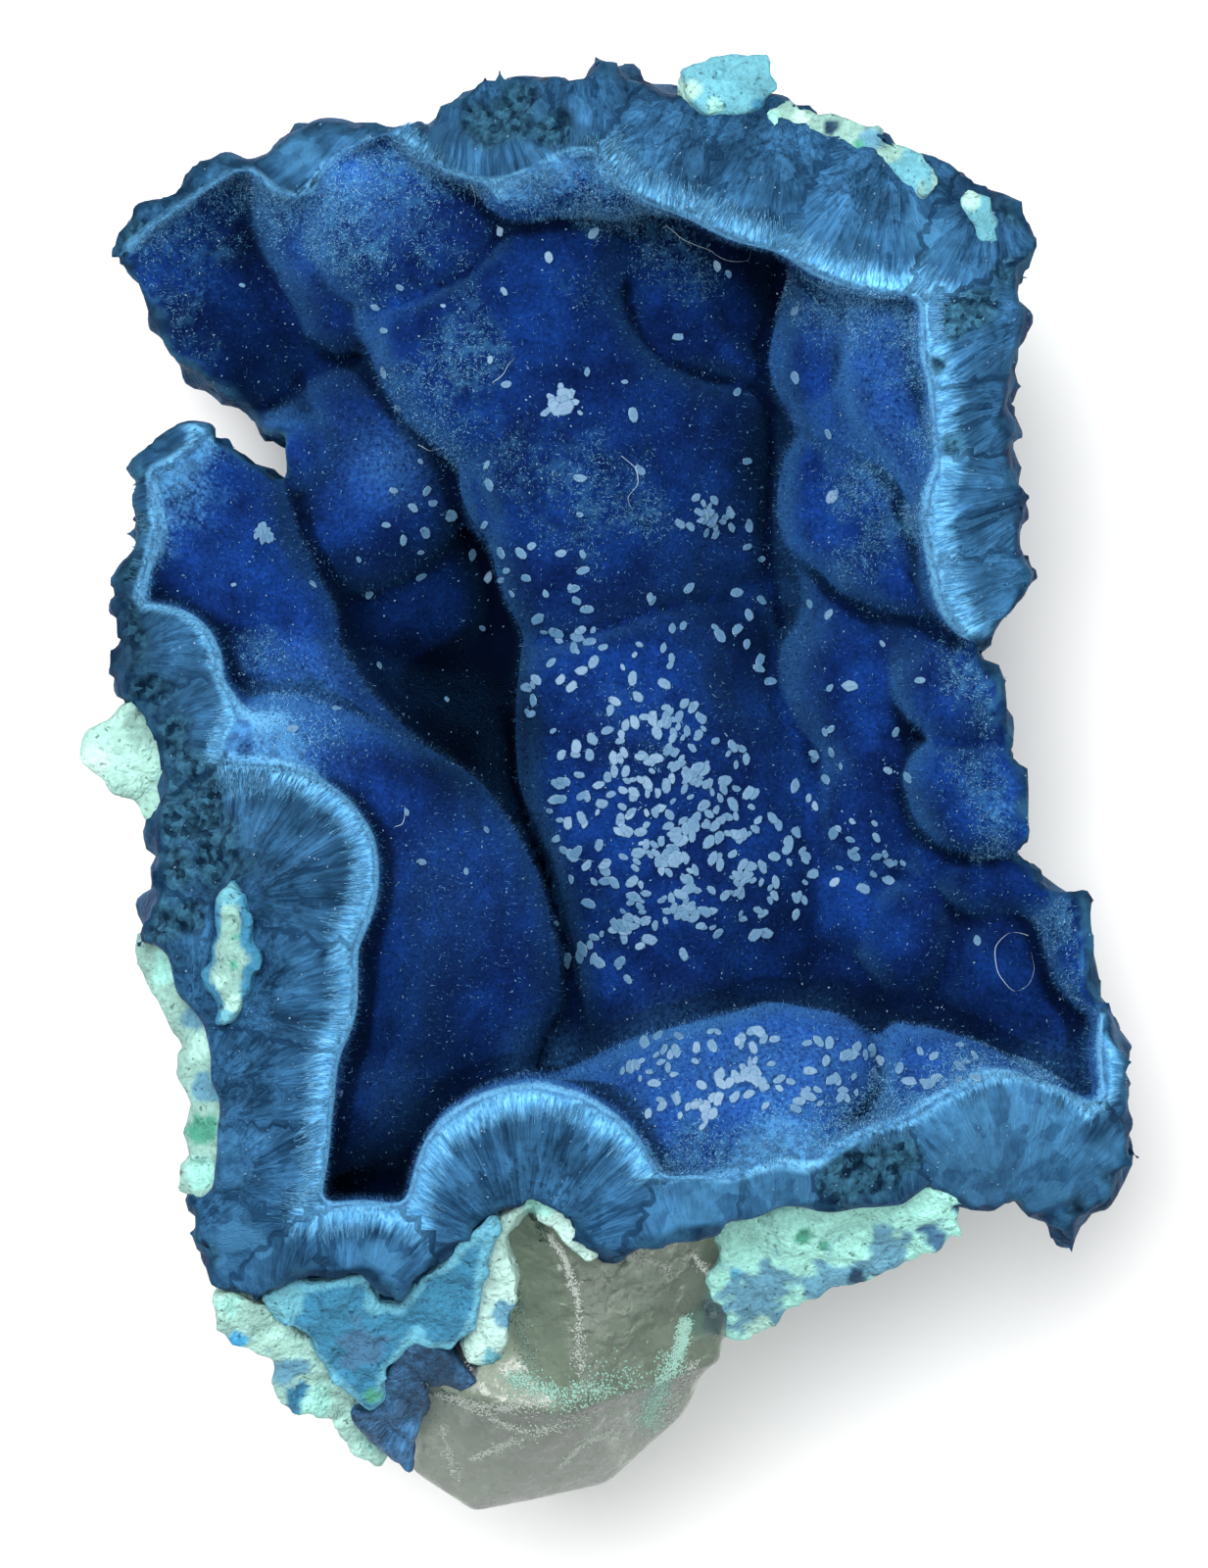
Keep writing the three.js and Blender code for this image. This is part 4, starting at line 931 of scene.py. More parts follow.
# ---- materials ----
class Look:
    """A material being made: one Principled shader with fixed values, fed by a few kinds of node."""

    def __init__(self, name, fixed):
        self.material = bpy.data.materials.new(name)
        self.material.use_nodes = True
        self.tree = self.material.node_tree
        self.shader = self.tree.nodes["Principled BSDF"]
        for socket, value in fixed.items():
            self.shader.inputs[socket].default_value = value
        place = self.node("ShaderNodeTexCoord", {}).outputs["Object"]
        self.place = self.vector("SCALE", place, {3: 1 / MM})

    def node(self, kind, values, **settings):
        node = self.tree.nodes.new(kind)
        for key, value in settings.items():
            setattr(node, key, value)
        for key, value in values.items():
            if isinstance(value, bpy.types.NodeSocket):
                self.tree.links.new(value, node.inputs[key])
            else:
                node.inputs[key].default_value = value
        return node

    def math(self, operation, *values):
        return self.node("ShaderNodeMath", dict(enumerate(values)), operation=operation).outputs[0]

    def vector(self, operation, first, others):
        node = self.node("ShaderNodeVectorMath", {0: first, **others}, operation=operation)
        return node.outputs["Value" if operation in ("LENGTH", "DOT_PRODUCT") else "Vector"]

    def scaled(self, value, factor, offset=None):
        """The value times the factor, plus the offset if one is given."""
        if offset is None:
            return self.math("MULTIPLY", value, factor)
        return self.math("MULTIPLY_ADD", value, factor, offset)

    def stored(self, name, kind="Fac"):
        """What the mesh stores under the name: a number, a Color or a Vector."""
        return self.node("ShaderNodeAttribute", {}, attribute_name=name).outputs[kind]

    def noise(self, width, detail=2.0, at=None):
        values = {"Vector": at or self.place, "Scale": 1 / width, "Detail": detail}
        return self.node("ShaderNodeTexNoise", values).outputs[0]

    def cells(self, width, at):
        """A random value for each of the cells that fill space."""
        node = self.node("ShaderNodeTexVoronoi", {"Vector": at, "Scale": 1 / width})
        return self.vector("DOT_PRODUCT", node.outputs["Color"], {1: (1, 0, 0)})

    def warped(self, width, amount):
        """The place, pushed about by noise."""
        push = self.node("ShaderNodeTexNoise", {"Vector": self.place, "Scale": 1 / width}).outputs["Color"]
        return self.vector("ADD", self.place, {1: self.vector("SCALE", push, {3: amount})})

    def step(self, value, low, high):
        """0 where the value is at low or beyond, 1 at high, smooth between."""
        values = {"Value": value, "From Min": low, "From Max": high}
        return self.node("ShaderNodeMapRange", values, interpolation_type="SMOOTHSTEP").outputs[0]

    def mix(self, share, first, second):
        colours = [c if isinstance(c, bpy.types.NodeSocket) else (*c, 1) for c in (first, second)]
        values = {0: share, 6: colours[0], 7: colours[1]}
        return self.node("ShaderNodeMix", values, data_type="RGBA").outputs[2]

    def dim(self, colour, factor):
        """The colour times a number."""
        return self.vector("SCALE", colour, {3: factor})

    def bump(self, height, distance, under=None):
        values = {"Height": height, "Distance": distance * MM}
        if under is not None:
            values["Normal"] = under
        return self.node("ShaderNodeBump", values).outputs[0]

    def done(self, colour, normal=None, roughness=None):
        self.tree.links.new(colour, self.shader.inputs["Base Color"])
        if normal is not None:
            self.tree.links.new(normal, self.shader.inputs["Normal"])
        if roughness is not None:
            self.tree.links.new(roughness, self.shader.inputs["Roughness"])
        return self.material


# Linear colours of the crust, the mineral layers under its skin, the grains and the quartz.
NAVY = (0.0025, 0.0105, 0.063)
ROYAL = (0.0042, 0.0265, 0.146)
TIP_BLUE = (0.060, 0.260, 0.560)
SLATE_DARK = (0.003, 0.018, 0.048)
SLATE_PALE = (0.038, 0.138, 0.280)
CRUMB_DARK = (0.002, 0.009, 0.020)
CRUMB_PALE = (0.030, 0.105, 0.170)
BLOCK_DARK = (0.018, 0.072, 0.155)
BLOCK_PALE = (0.048, 0.175, 0.330)
FROST_BLUE = (0.050, 0.210, 0.400)
TIP_DARK = (0.055, 0.235, 0.470)
TIP_PALE = (0.150, 0.440, 0.720)
# painted colours: the shade in recesses, and the light of the sheen glow and of paler lobes
PAINTED_RECESS_SHADE = (0.0005, 0.0016, 0.008)
PAINTED_LIGHT_BLUE = (0.034, 0.135, 0.330)
ROCK_DARK = (0.004, 0.018, 0.042)
ROCK_PALE = (0.018, 0.070, 0.130)
MINT = (0.480, 0.740, 0.640)
MINT_DARK = (0.18, 0.45, 0.42)
GRAIN_DARK = (0.03, 0.11, 0.23)
GRAIN_PALE = (0.115, 0.235, 0.345)
QUARTZ_CLEAR = (0.93, 0.93, 0.87)
QUARTZ_SMOKY = (0.50, 0.56, 0.47)
QUARTZ_DEPTH = {"Color": (0.76, 0.84, 0.78, 1), "Density": 130.0}
SHEEN = {"Sheen Weight": 0.15, "Sheen Roughness": 0.4, "Sheen Tint": (0.06, 0.28, 0.80, 1),
         "Specular Tint": (0.15, 0.42, 1.0, 1)}


def fibrous_tone(look):
    """Broken fibres that run out from each lobe's middle, pale at their tips under the velvet."""
    # blades and threads, both drawn out along the fibres
    away = look.vector("SUBTRACT", look.place, {1: look.stored("fan", "Vector")})
    far = look.vector("LENGTH", away, {})
    ray = look.dim(look.vector("NORMALIZE", away, {}), look.scaled(far, 0.09, 5.0))
    blades = look.math("ADD", look.cells(0.26, ray), look.cells(0.8, ray))
    threads = look.noise(0.13, 3, ray)
    mixed = look.scaled(blades, 0.22, look.scaled(threads, 0.55, -0.05))
    tone = look.mix(look.step(mixed, 0.05, 0.85), SLATE_DARK, SLATE_PALE)
    tone = look.dim(tone, look.scaled(look.step(look.noise(2.0, 3), 0.35, 0.65), 0.7, 0.6))
    # the pale band under the velvet, with a ragged lower edge
    ragged = look.scaled(blades, 0.15, look.scaled(threads, 0.6, -0.4))
    share = look.step(look.math("SUBTRACT", ragged, look.stored("band")), -1.25, -0.3)
    tone = look.mix(share, tone, look.mix(look.step(threads, 0.3, 0.7), TIP_DARK, TIP_PALE))
    # dark specks below it
    specks = look.step(look.noise(0.26, 3), 0.5, 0.66)
    specks = look.scaled(specks, look.step(look.stored("depth"), 1.2, 3.5))
    tone = look.mix(look.scaled(specks, 0.5), tone, CRUMB_DARK)
    # blocky patches, and crumbly ones
    blocks = look.scaled(look.cells(1.1, look.warped(1.2, 0.9)), 0.6, look.noise(0.5, 4))
    blocks = look.mix(look.step(blocks, 0.4, 1.1), BLOCK_DARK, BLOCK_PALE)
    tone = look.mix(look.scaled(look.stored("blocky"), 0.65), tone, blocks)
    crumbs = look.scaled(look.cells(0.36, look.warped(0.3, 0.3)), 0.4, look.noise(0.5, 4))
    crumbs = look.mix(look.step(crumbs, 0.42, 1.0), CRUMB_DARK, CRUMB_PALE)
    crumbs = look.dim(crumbs, look.scaled(look.noise(0.2, 3), 1.6, 0.2))
    # then painted light and shade from the stored shade, on the broken fibres too
    tone = look.dim(look.mix(look.stored("rough"), tone, crumbs), look.stored("shade"))
    return tone, look.scaled(threads, 0.5, look.scaled(blades, 0.3))


def velvet_tone(look):
    """Deep blue pile, with painted shade in the recesses, painted light on paler lobes and a painted sheen
    glow where it turns away.
    """
    fine = look.noise(0.16, 3)
    broken = look.stored("broken")
    normal = look.node("ShaderNodeTexCoord", {}).outputs["Normal"]
    # clouds of two blues, with the pile's grain
    tone = look.mix(look.step(look.noise(3.2, 3), 0.35, 0.7), NAVY, ROYAL)
    tone = look.dim(tone, look.scaled(fine, 1.7, 0.15))
    tone = look.dim(tone, look.scaled(look.noise(0.9, 3), 1.2, 0.4))
    # painted sheen glow where the pile turns away, stronger on slopes that face the light at the left
    painted_glow = look.step(look.node("ShaderNodeLayerWeight", {"Blend": 0.5}).outputs["Facing"], 0.12, 0.85)
    lit_from_left = look.step(look.vector("DOT_PRODUCT", normal, {1: (-0.85, 0.4, 0.0)}), -0.2, 0.6)
    painted_glow = look.scaled(painted_glow, look.scaled(lit_from_left, 0.75, 0.25))
    tone = look.mix(look.scaled(painted_glow, look.scaled(fine, 0.9, 0.2)), tone, PAINTED_LIGHT_BLUE)
    # painted shade in recesses, in the deep and in folds
    low = look.step(look.stored("recess"), 0.0, 5.2)
    deep = look.step(broken, -10.5, -17.5)
    fold = look.scaled(look.step(look.stored("fold"), 0.04, 0.6), 0.9)
    recess = look.math("MAXIMUM", look.math("MAXIMUM", low, deep), fold)
    tone = look.mix(look.scaled(recess, 0.93), tone, PAINTED_RECESS_SHADE)
    # painted light and shade on lobes that are darker or paler than others, the paler ones painted nearer to
    # azure
    shade = look.stored("shade")
    painted_light_share = look.scaled(look.step(shade, 1.0, 2.2), look.scaled(fine, 1.7, -0.42))
    tone = look.mix(painted_light_share, look.dim(tone, shade), PAINTED_LIGHT_BLUE)
    # the lip: blue and then pale where the velvet meets the broken face
    near_break = look.scaled(fine, 1.2, broken)
    lip = look.scaled(look.step(near_break, -0.9, 0.6), look.step(look.noise(0.4, 4), 0.36, 0.66))
    tone = look.mix(look.scaled(lip, 0.7), tone, TIP_BLUE)
    # the tips' own paleness, painted paler still on steep sides as painted light where they would fall in
    # shade
    lip_light_share = look.step(look.vector("DOT_PRODUCT", normal, {1: (0.0, 0.0, 1.0)}), 0.85, 0.55)
    lip_light_share = look.math("MAXIMUM", look.scaled(lip_light_share, 0.7, 0.2), look.step(broken, -0.16, -0.02))
    tone = look.mix(look.scaled(look.step(near_break, -0.45, 0.15), lip_light_share), tone, TIP_PALE)
    frost = look.scaled(look.stored("frost"), look.step(look.noise(0.5, 5), 0.40, 0.70))
    return look.mix(look.scaled(frost, 0.55), tone, FROST_BLUE), look.noise(0.14, 3)


def rock_tone(look):
    tone = look.mix(look.step(look.noise(1.2, 4), 0.35, 0.65), ROCK_DARK, ROCK_PALE)
    patches = look.step(look.noise(5.0, 4), 0.55, 0.62)
    patches = look.scaled(patches, look.step(look.stored("broken"), -5.0, -7.0))
    mint = look.mix(look.noise(0.8, 3), MINT_DARK, MINT)
    return look.mix(patches, tone, mint), look.noise(0.5, 4)


def crust_look():
    """Velvet where the lobes' surface is whole, fibres where they are broken, rock outside."""
    look = Look("crust", {"Specular IOR Level": 0.1, **SHEEN})
    velvet, nap = velvet_tone(look)
    fibres, streaks = fibrous_tone(look)
    rock, knobs = rock_tone(look)
    inside = look.step(look.stored("depth"), 0.02, 0.3)
    outside = look.step(look.stored("outer"), -0.45, -0.1)
    tone = look.mix(outside, look.mix(inside, velvet, fibres), rock)
    height = look.scaled(nap, 0.06)
    height = look.scaled(look.scaled(streaks, inside), 0.2, height)
    height = look.scaled(look.scaled(knobs, outside), 0.3, height)
    roughness = look.scaled(look.math("MAXIMUM", inside, outside), -0.35, 0.95)
    return look.done(tone, look.bump(height, 1.0), roughness)


def wedge_look():
    look = Look("fibrous", {"Roughness": 0.6, "Specular IOR Level": 0.3})
    tone, streaks = fibrous_tone(look)
    return look.done(tone, look.bump(streaks, 0.35))


def painted_look(name, fixed, width):
    """The colour stored on the mesh, a little lighter and darker in places of the given width."""
    look = Look(name, fixed)
    return look.done(look.dim(look.stored("paint", "Color"), look.scaled(look.noise(width), 0.4, 0.8)))


def mineral_look():
    """Crusts of mint, turquoise and sky-blue minerals, in the colours stored on the mesh."""
    look = Look("mineral", {"Roughness": 0.85, "Specular IOR Level": 0.25})
    paint = look.stored("paint", "Color")
    tone = look.dim(paint, look.scaled(look.noise(0.22, 4), 0.8, 0.6))
    tone = look.dim(tone, look.scaled(look.noise(1.6, 3), 0.7, 0.65))
    pores = look.step(look.noise(0.28, 3), 0.62, 0.70)
    tone = look.mix(look.scaled(pores, 0.7), tone, look.dim(paint, 0.15))
    return look.done(tone, look.bump(look.noise(0.3, 5), 0.3))


def quartz_look():
    """Clear and hazy quartz, smoky in the block and green-grey where the light goes far through it."""
    look = Look("quartz", {"IOR": 1.544, "Transmission Weight": 1.0})
    inside = look.node("ShaderNodeVolumeAbsorption", QUARTZ_DEPTH)
    output = look.tree.nodes["Material Output"]
    look.tree.links.new(inside.outputs[0], output.inputs["Volume"])
    clear = look.mix(look.stored("smoky"), QUARTZ_CLEAR, QUARTZ_SMOKY)
    tone = look.dim(clear, look.scaled(look.noise(1.4, 4), 0.8, 0.56))
    haze = look.step(look.noise(0.9, 4), 0.40, 0.68)
    return look.done(tone, look.bump(look.noise(1.0, 4), 0.25), look.scaled(haze, 0.3, 0.22))


# ---- the slabs of other minerals ----
COLOURS = {
    "mint": (0.29, 0.62, 0.55), "sage": (0.195, 0.36, 0.325), "jade": (0.235, 0.42, 0.375),
    "pale": (0.33, 0.58, 0.51), "white": (0.42, 0.64, 0.58), "green": (0.06, 0.28, 0.20),
    "turquoise": (0.115, 0.35, 0.43), "sky": (0.031, 0.170, 0.290), "sky_pale": (0.105, 0.340, 0.460),
    "dark": (0.012, 0.045, 0.090), "slate": (0.045, 0.135, 0.240), "grey_blue": (0.10, 0.26, 0.36),
    "cyan": (0.05, 0.34, 0.60), "cloud": (0.30, 0.34, 0.31), "cloud_white": (0.45, 0.50, 0.46),
    "cloud_green": (0.13, 0.20, 0.17), "cloud_mint": (0.23, 0.40, 0.34),
}

# Each slab: its slot, its colour and that of its edge (width, colour), whether the crust goes on over
# it, the height z0 of its top at the point `at`, the top's slope along x and y, its depth, its outline
# seen from above, and spots of other colours (x, y, radius, colour). The wedge is fibrous rock and has
# no colours of its own.
SLABS = {
    "malachite_band": dict(
        slot="pale_mint", colour="white",
        at=(-4, -20), z0=25.4, slope=(0.1, 0.35), depth=5,
        outline=[
            (-2.8, -16.6), (-3.8, -17.4), (-4.7, -18.4), (-5, -19.5), (-5.2, -21), (-5.3, -22.2),
            (-5.9, -22.9), (-5.7, -23.6), (-4.9, -23.9), (-4.2, -23.9), (-3.9, -22.3), (-3.6, -21.2),
            (-3.8, -19.9), (-4, -18.8), (-3.5, -18), (-2.8, -17.4), (-1.7, -18), (-1.1, -19), (-0.7, -19.5),
            (-0.4, -19.3), (-0.9, -18.4), (-1.5, -17.4),
        ],
        spots=[(-4, -21.6, 0.5, "grey_blue"), (-4.6, -23.5, 0.35, "turquoise"), (-2.6, -17, 0.6, "mint")],
    ),
    "chrysocolla_layer": dict(
        slot="chrysocolla", colour="sky", edge=(0.24, "sky_pale"),
        at=(-9, -21), z0=26, slope=(0, 0.6), depth=7,
        outline=[
            (-13.8, -21.1), (-12.5, -20.2), (-11.8, -20.4), (-9.6, -20), (-9.5, -21.3), (-8.3, -21.4),
            (-7.2, -20.1), (-5.8, -19), (-4.6, -17.9), (-4.4, -18.2), (-4.9, -19), (-5.2, -21.3),
            (-5.3, -22.3), (-6, -22.9), (-6.8, -23.1), (-7.7, -22.1), (-8.1, -23.1), (-8.7, -23.8),
            (-8.8, -24.6), (-9, -25.3), (-9.6, -25.6), (-10.8, -24.2), (-12.6, -22.1), (-13.6, -21.6),
        ],
        spots=[(-9.9, -22.6, 0.9, "slate"), (-10.4, -23.6, 0.5, "slate"), (-9.4, -25.1, 0.45, "green"),
               (-13, -21.2, 0.7, "turquoise")],
    ),
    "shattuckite_wedge": dict(
        slot="shattuckite",
        at=(-8, -24), z0=23.8, slope=(0, 0.7), depth=7,
        outline=[
            (-8.7, -23.8), (-7.7, -22.1), (-6.8, -23.1), (-5.5, -23.9), (-5.1, -24.5), (-5.8, -24.7),
            (-7.2, -24.2), (-7.4, -25.5), (-7.9, -28.1), (-9, -27.4), (-10.2, -25.9), (-9.6, -25.6),
            (-9, -25.3), (-8.8, -24.6),
        ],
    ),
    "mint_lump_bottom": dict(
        slot="pale_mint", colour="pale",
        at=(-13, -22.5), z0=24.4, slope=(-0.35, 0.75), depth=8,
        outline=[
            (-15.8, -20.8), (-15.2, -20.6), (-14.4, -21.2), (-13.6, -21.6), (-12.6, -22.1), (-10.8, -24.2),
            (-9.6, -25.6), (-10.2, -25.9), (-9, -27.4), (-9.2, -27.8), (-10, -27.4), (-10.6, -26.8),
            (-11.2, -25.9), (-12, -25.6), (-12.7, -25.6), (-13.1, -25.2), (-13.4, -24.1), (-13.6, -23.2),
            (-14.9, -23), (-15.6, -22.4),
        ],
        spots=[(-12.9, -24, 0.8, "grey_blue"), (-12.4, -25, 0.7, "sky"), (-15.2, -21.2, 0.5, "mint"),
               (-11.6, -25.2, 0.6, "mint"), (-9.4, -26.9, 0.5, "mint"), (-14.9, -22.8, 0.45, "cyan"),
               (-15.6, -22.2, 0.5, "jade"), (-14.2, -21.8, 0.6, "jade")],
    ),
    "mint_apron": dict(
        slot="mint", colour="mint",
        at=(8, -19), z0=22.6, slope=(-0.05, 0.9), depth=8,
        outline=[
            (4.6, -17.8), (7.4, -17.2), (9.8, -17.2), (12.2, -16.9), (13.4, -16.2), (14.5, -17.4),
            (14.4, -18.5), (12.6, -19.6), (11.5, -19.6), (10.2, -20.4), (8.2, -20.9), (7.4, -22),
            (6.6, -22.6), (4.8, -22.6), (3, -22.1), (4, -21.1), (4.8, -19.7),
        ],
        spots=[(8.2, -18.4, 0.3, "green"), (9, -18.9, 0.25, "green"),
               (5.5, -20.1, 0.3, "cyan"), (6.4, -21.2, 1.5, "grey_blue"), (9.4, -20.1, 1.2, "grey_blue"),
               (11.4, -19.5, 0.5, "dark"), (13.7, -18.7, 0.7, "slate"), (4.4, -21.9, 0.9, "grey_blue"),
               (6.4, -22.3, 0.6, "pale"), (10.3, -20.2, 0.35, "dark"),
               (11.6, -18.9, 0.8, "grey_blue"), (14.5, -17.3, 0.3, "slate")],
    ),
    "mint_rind_left": dict(
        slot="mint", colour="jade",
        at=(-16.5, -11), z0=25.4, slope=(0.7, 0), depth=7,
        outline=[
            (-19, -7), (-18.7, -6.3), (-17.9, -6.5), (-17.4, -7.1), (-17.2, -7.7), (-17, -8.5), (-16.4, -9),
            (-16, -9.7), (-15.7, -10.6), (-15.6, -12), (-15.3, -13.4), (-15.5, -14.6), (-15.4, -16.4),
            (-16.4, -17.2), (-17.1, -16.6), (-17.1, -15.9), (-16.5, -15.3), (-17, -14.1), (-16.6, -13.1),
            (-17.2, -11.3), (-17.8, -9.5), (-18.7, -8),
        ],
        spots=[(-16.2, -14, 0.7, "green"), (-16.4, -15.8, 0.6, "mint"), (-15.9, -12.6, 0.5, "turquoise"),
               (-17.6, -7.6, 0.8, "mint"), (-16.6, -9.6, 0.5, "grey_blue"),
               (-16.4, -10.6, 0.5, "pale"), (-16.2, -12.6, 0.5, "grey_blue")],
    ),
    "mint_pod_left": dict(
        slot="mint", colour="sage", edge=(0.22, "sky"),
        at=(-15.2, -7), z0=28, slope=(0.45, -0.05), depth=3.5,
        outline=[
            (-15.3, -4.1), (-15.7, -4.9), (-15.8, -5.9), (-16.1, -6.6), (-15.9, -7.3), (-16.1, -7.9),
            (-15.8, -8.6), (-15.5, -9.1), (-15.7, -9.6), (-15.3, -9.8), (-14.8, -9.4), (-14.4, -8.6),
            (-14.5, -7.9), (-14.1, -7.2), (-14.6, -6.5), (-14.4, -5.6), (-14.75, -4.6),
        ],
        spots=[(-15.2, -9.4, 0.3, "turquoise"), (-15.2, -4.6, 0.35, "turquoise"), (-15, -7.4, 0.14, "green"),
               (-14.9, -6.2, 0.12, "green"), (-15.5, -8.1, 0.35, "pale"), (-15, -8.9, 0.3, "pale")],
    ),
    "mint_wing_left": dict(
        slot="pale_mint", colour="pale", under=True,
        at=(-19.5, 1.5), z0=20.4, slope=(0.1, 0.1), depth=3.4,
        outline=[
            (-21.8, 1.1), (-20.8, 2.2), (-19.8, 3), (-18.8, 3.1), (-17.4, 2.8), (-16.6, 1.7), (-16.8, 0.2),
            (-17.2, -1.2), (-18.5, -1.5), (-19.5, -0.5), (-20.4, 0.2),
        ],
        spots=[(-20.8, 0.9, 0.7, "white"), (-17.6, 0.2, 0.8, "mint"), (-18.8, 2.4, 0.6, "jade")],
    ),
    "mint_knob_top": dict(
        slot="turquoise", colour="turquoise",
        at=(5, 28.5), z0=23, slope=(0.1, -0.2), depth=6,
        outline=[
            (3.4, 29.2), (3.5, 28.2), (4.2, 27.7), (5.5, 27.4), (6.5, 27.6), (7, 28.3), (6.8, 29.2),
            (6.1, 29.6), (4.6, 29.6),
        ],
        spots=[(3.5, 28.3, 0.6, "pale"), (4.6, 27.6, 0.4, "mint"), (6.4, 27.6, 0.35, "sky")],
    ),
    "mint_streak_top": dict(
        slot="mint", colour="jade",
        at=(10, 26.3), z0=23.2, slope=(0, -0.3), depth=3,
        outline=[
            (6.5, 27.2), (7.6, 27.5), (8.4, 27.3), (9.5, 27), (10.8, 26.6), (12, 25.9), (13.2, 25.2),
            (13.5, 24.7), (12.9, 24.1), (12.2, 24.3), (11.3, 25.3), (10.4, 26), (9.5, 26.5), (8.5, 26.7),
            (7.2, 26.8),
        ],
        spots=[(8.1, 27, 0.4, "white"), (12.4, 24.9, 1, "turquoise"), (10.9, 26.2, 0.5, "grey_blue"),
               (10.5, 26, 0.25, "green"), (9.2, 26.7, 0.35, "dark"), (7, 27, 0.4, "mint")],
    ),
    "mint_sliver_top": dict(
        slot="pale_mint", colour="turquoise",
        at=(15.3, 23.2), z0=23.6, slope=(-0.3, 0), depth=2.4,
        outline=[
            (14.5, 24.2), (15.1, 24.3), (15.6, 23.7), (16, 22.8), (16.1, 22), (15.6, 22.2), (15.2, 23),
            (14.7, 23.6),
        ],
        spots=[(15.1, 23.7, 0.35, "pale")],
    ),
}
SLAB_RELIEF = (0.9, [(0.18, 1.3, 11), (0.20, 0.55, 12)])
PAINT_LUMPS = [(0.55, 1.0, 21), (0.45, 0.45, 22)]
RAGGED_STEP = 0.55      # how far apart the corners of a slab's ragged outline are
RAGGED_REACH = 0.26     # how far they are pushed in or out
SLAB_PROUD = 0.12       # how far a slab's surface runs past the CAD's gap, into its neighbours
SLAB_WAVES = 0.22       # height and width of the waves on its top
SLAB_WAVE_WIDTH = 3
SLAB_ROUND = 0.25       # how round its top edge and its foot are
SLAB_FOOT_ROUND = 0.3
WEDGE_FAN = (-6.4, -22.4, 22.0)     # where the wedge's fibres start
WEDGE_DEPTH = 3.0       # how deep under the velvet its fibres count as
WEDGE_SHADE = 1.3


def ragged_outline(outline):
    """The outline with more corners, each pushed a little in or out."""
    ring = np.array(outline + outline[:1], float)
    points = []
    for a, b in zip(ring, ring[1:]):
        count = max(int(np.linalg.norm(b - a) / RAGGED_STEP), 1)
        points += [a + (b - a) * i / count for i in range(count)]
    points = np.array(points)
    flat = np.concatenate([points, np.zeros((len(points), 1))], axis=1)
    return points + RAGGED_REACH * np.stack([noise(flat, 0.7, 61), noise(flat, 0.7, 62)], axis=1)


for each_slab in SLABS.values():
    each_slab["outline"] = ragged_outline(each_slab["outline"])


def slab_outlines(slab, zs):
    """The slab's outline at each height, and its lowest height. The walls draw in below the top's edge."""
    edge = slab["outline"]
    heights = slab_top(slab, edge[:, 0], edge[:, 1])
    low = heights.min() - slab["depth"]
    toward = MIDDLE - edge
    foot = edge + toward / np.linalg.norm(toward, axis=1, keepdims=True) * SLAB_INSET * slab["depth"]
    share = np.clip((heights[:, None] - zs[None, :]) / (heights - low)[:, None], 0, 1)
    return edge[:, :, None] + (foot - edge)[:, :, None] * share[:, None], low


def slab_top(slab, x, y):
    plane = slab["z0"] + slab["slope"][0] * (x - slab["at"][0]) + slab["slope"][1] * (y - slab["at"][1])
    return plane + SLAB_WAVES * hummocks(x, y, SLAB_WAVE_WIDTH)


def slab_shaft(grid, slab):
    """Distance to the slab's walls and foot, which carry on upwards without a top."""
    x, y, z = grid.planes()
    outlines, low = slab_outlines(slab, grid.axes[2])
    return np.maximum(outline_distance(x, y, outlines), low - z)


def slab_field(grid, slab):
    x, y, z = grid.planes()
    outlines, low = slab_outlines(slab, grid.axes[2])
    walls = outline_distance(x, y, outlines) - SLAB_PROUD
    top = z - slab_top(slab, x, y)
    top = top / math.sqrt(1 + slab["slope"][0] ** 2 + slab["slope"][1] ** 2)
    return smooth_max(smooth_max(walls, top, SLAB_ROUND), low - z, SLAB_FOOT_ROUND)


def slab_grid(slab, voxel):
    """A grid that holds the slab, with some room round it."""
    edge = slab["outline"]
    heights = slab_top(slab, edge[:, 0], edge[:, 1])
    inset = SLAB_INSET * slab["depth"]
    lows = [*(edge.min(0) - inset - 1), heights.min() - slab["depth"] - 1]
    highs = [*(edge.max(0) + inset + 1), heights.max() + 1.5]
    return Grid(*[np.arange(low, high, voxel) for low, high in zip(lows, highs)])


def painted(slab, points):
    """The slab's colour at each point: its own, with ragged spots of others, and its edge's if it has one."""
    ragged = lumps(points, PAINT_LUMPS)
    colour = np.tile(np.array(COLOURS[slab["colour"]]), (len(points), 1))
    if "edge" in slab:
        width, name = slab["edge"]
        far = -outline_distance(points[:, 0], points[:, 1], slab["outline"]) / width + 0.7 * ragged
        colour = blend_colours(colour, COLOURS[name], np.clip((1.2 - far) / 0.5, 0, 1))
    for *patch, name in slab["spots"]:
        share = patch_share(points, patch, end=1.15, soft=0.3, ragged=ragged)
        colour = blend_colours(colour, COLOURS[name], share)
    return colour


def build_slab(name, slab):
    grid = slab_grid(slab, SLAB_VOXEL)
    field = slab_field(grid, slab)
    roughen(grid, field, SLAB_RELIEF)
    vertices, quads = meshed(grid, field)
    fibrous = name == "shattuckite_wedge"
    piece = make_mesh(name + "_rock", vertices, quads, [fibrous_rock if fibrous else mineral])
    if fibrous:
        give_values(piece, "fan", np.tile(WEDGE_FAN, (len(vertices), 1)))
        for value, amount in (("depth", WEDGE_DEPTH), ("band", WEDGE_DEPTH), ("shade", WEDGE_SHADE)):
            give_values(piece, value, np.full(len(vertices), amount))
    else:
        give_paint(piece, painted(slab, vertices))
    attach(piece, "root")
    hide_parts(name)


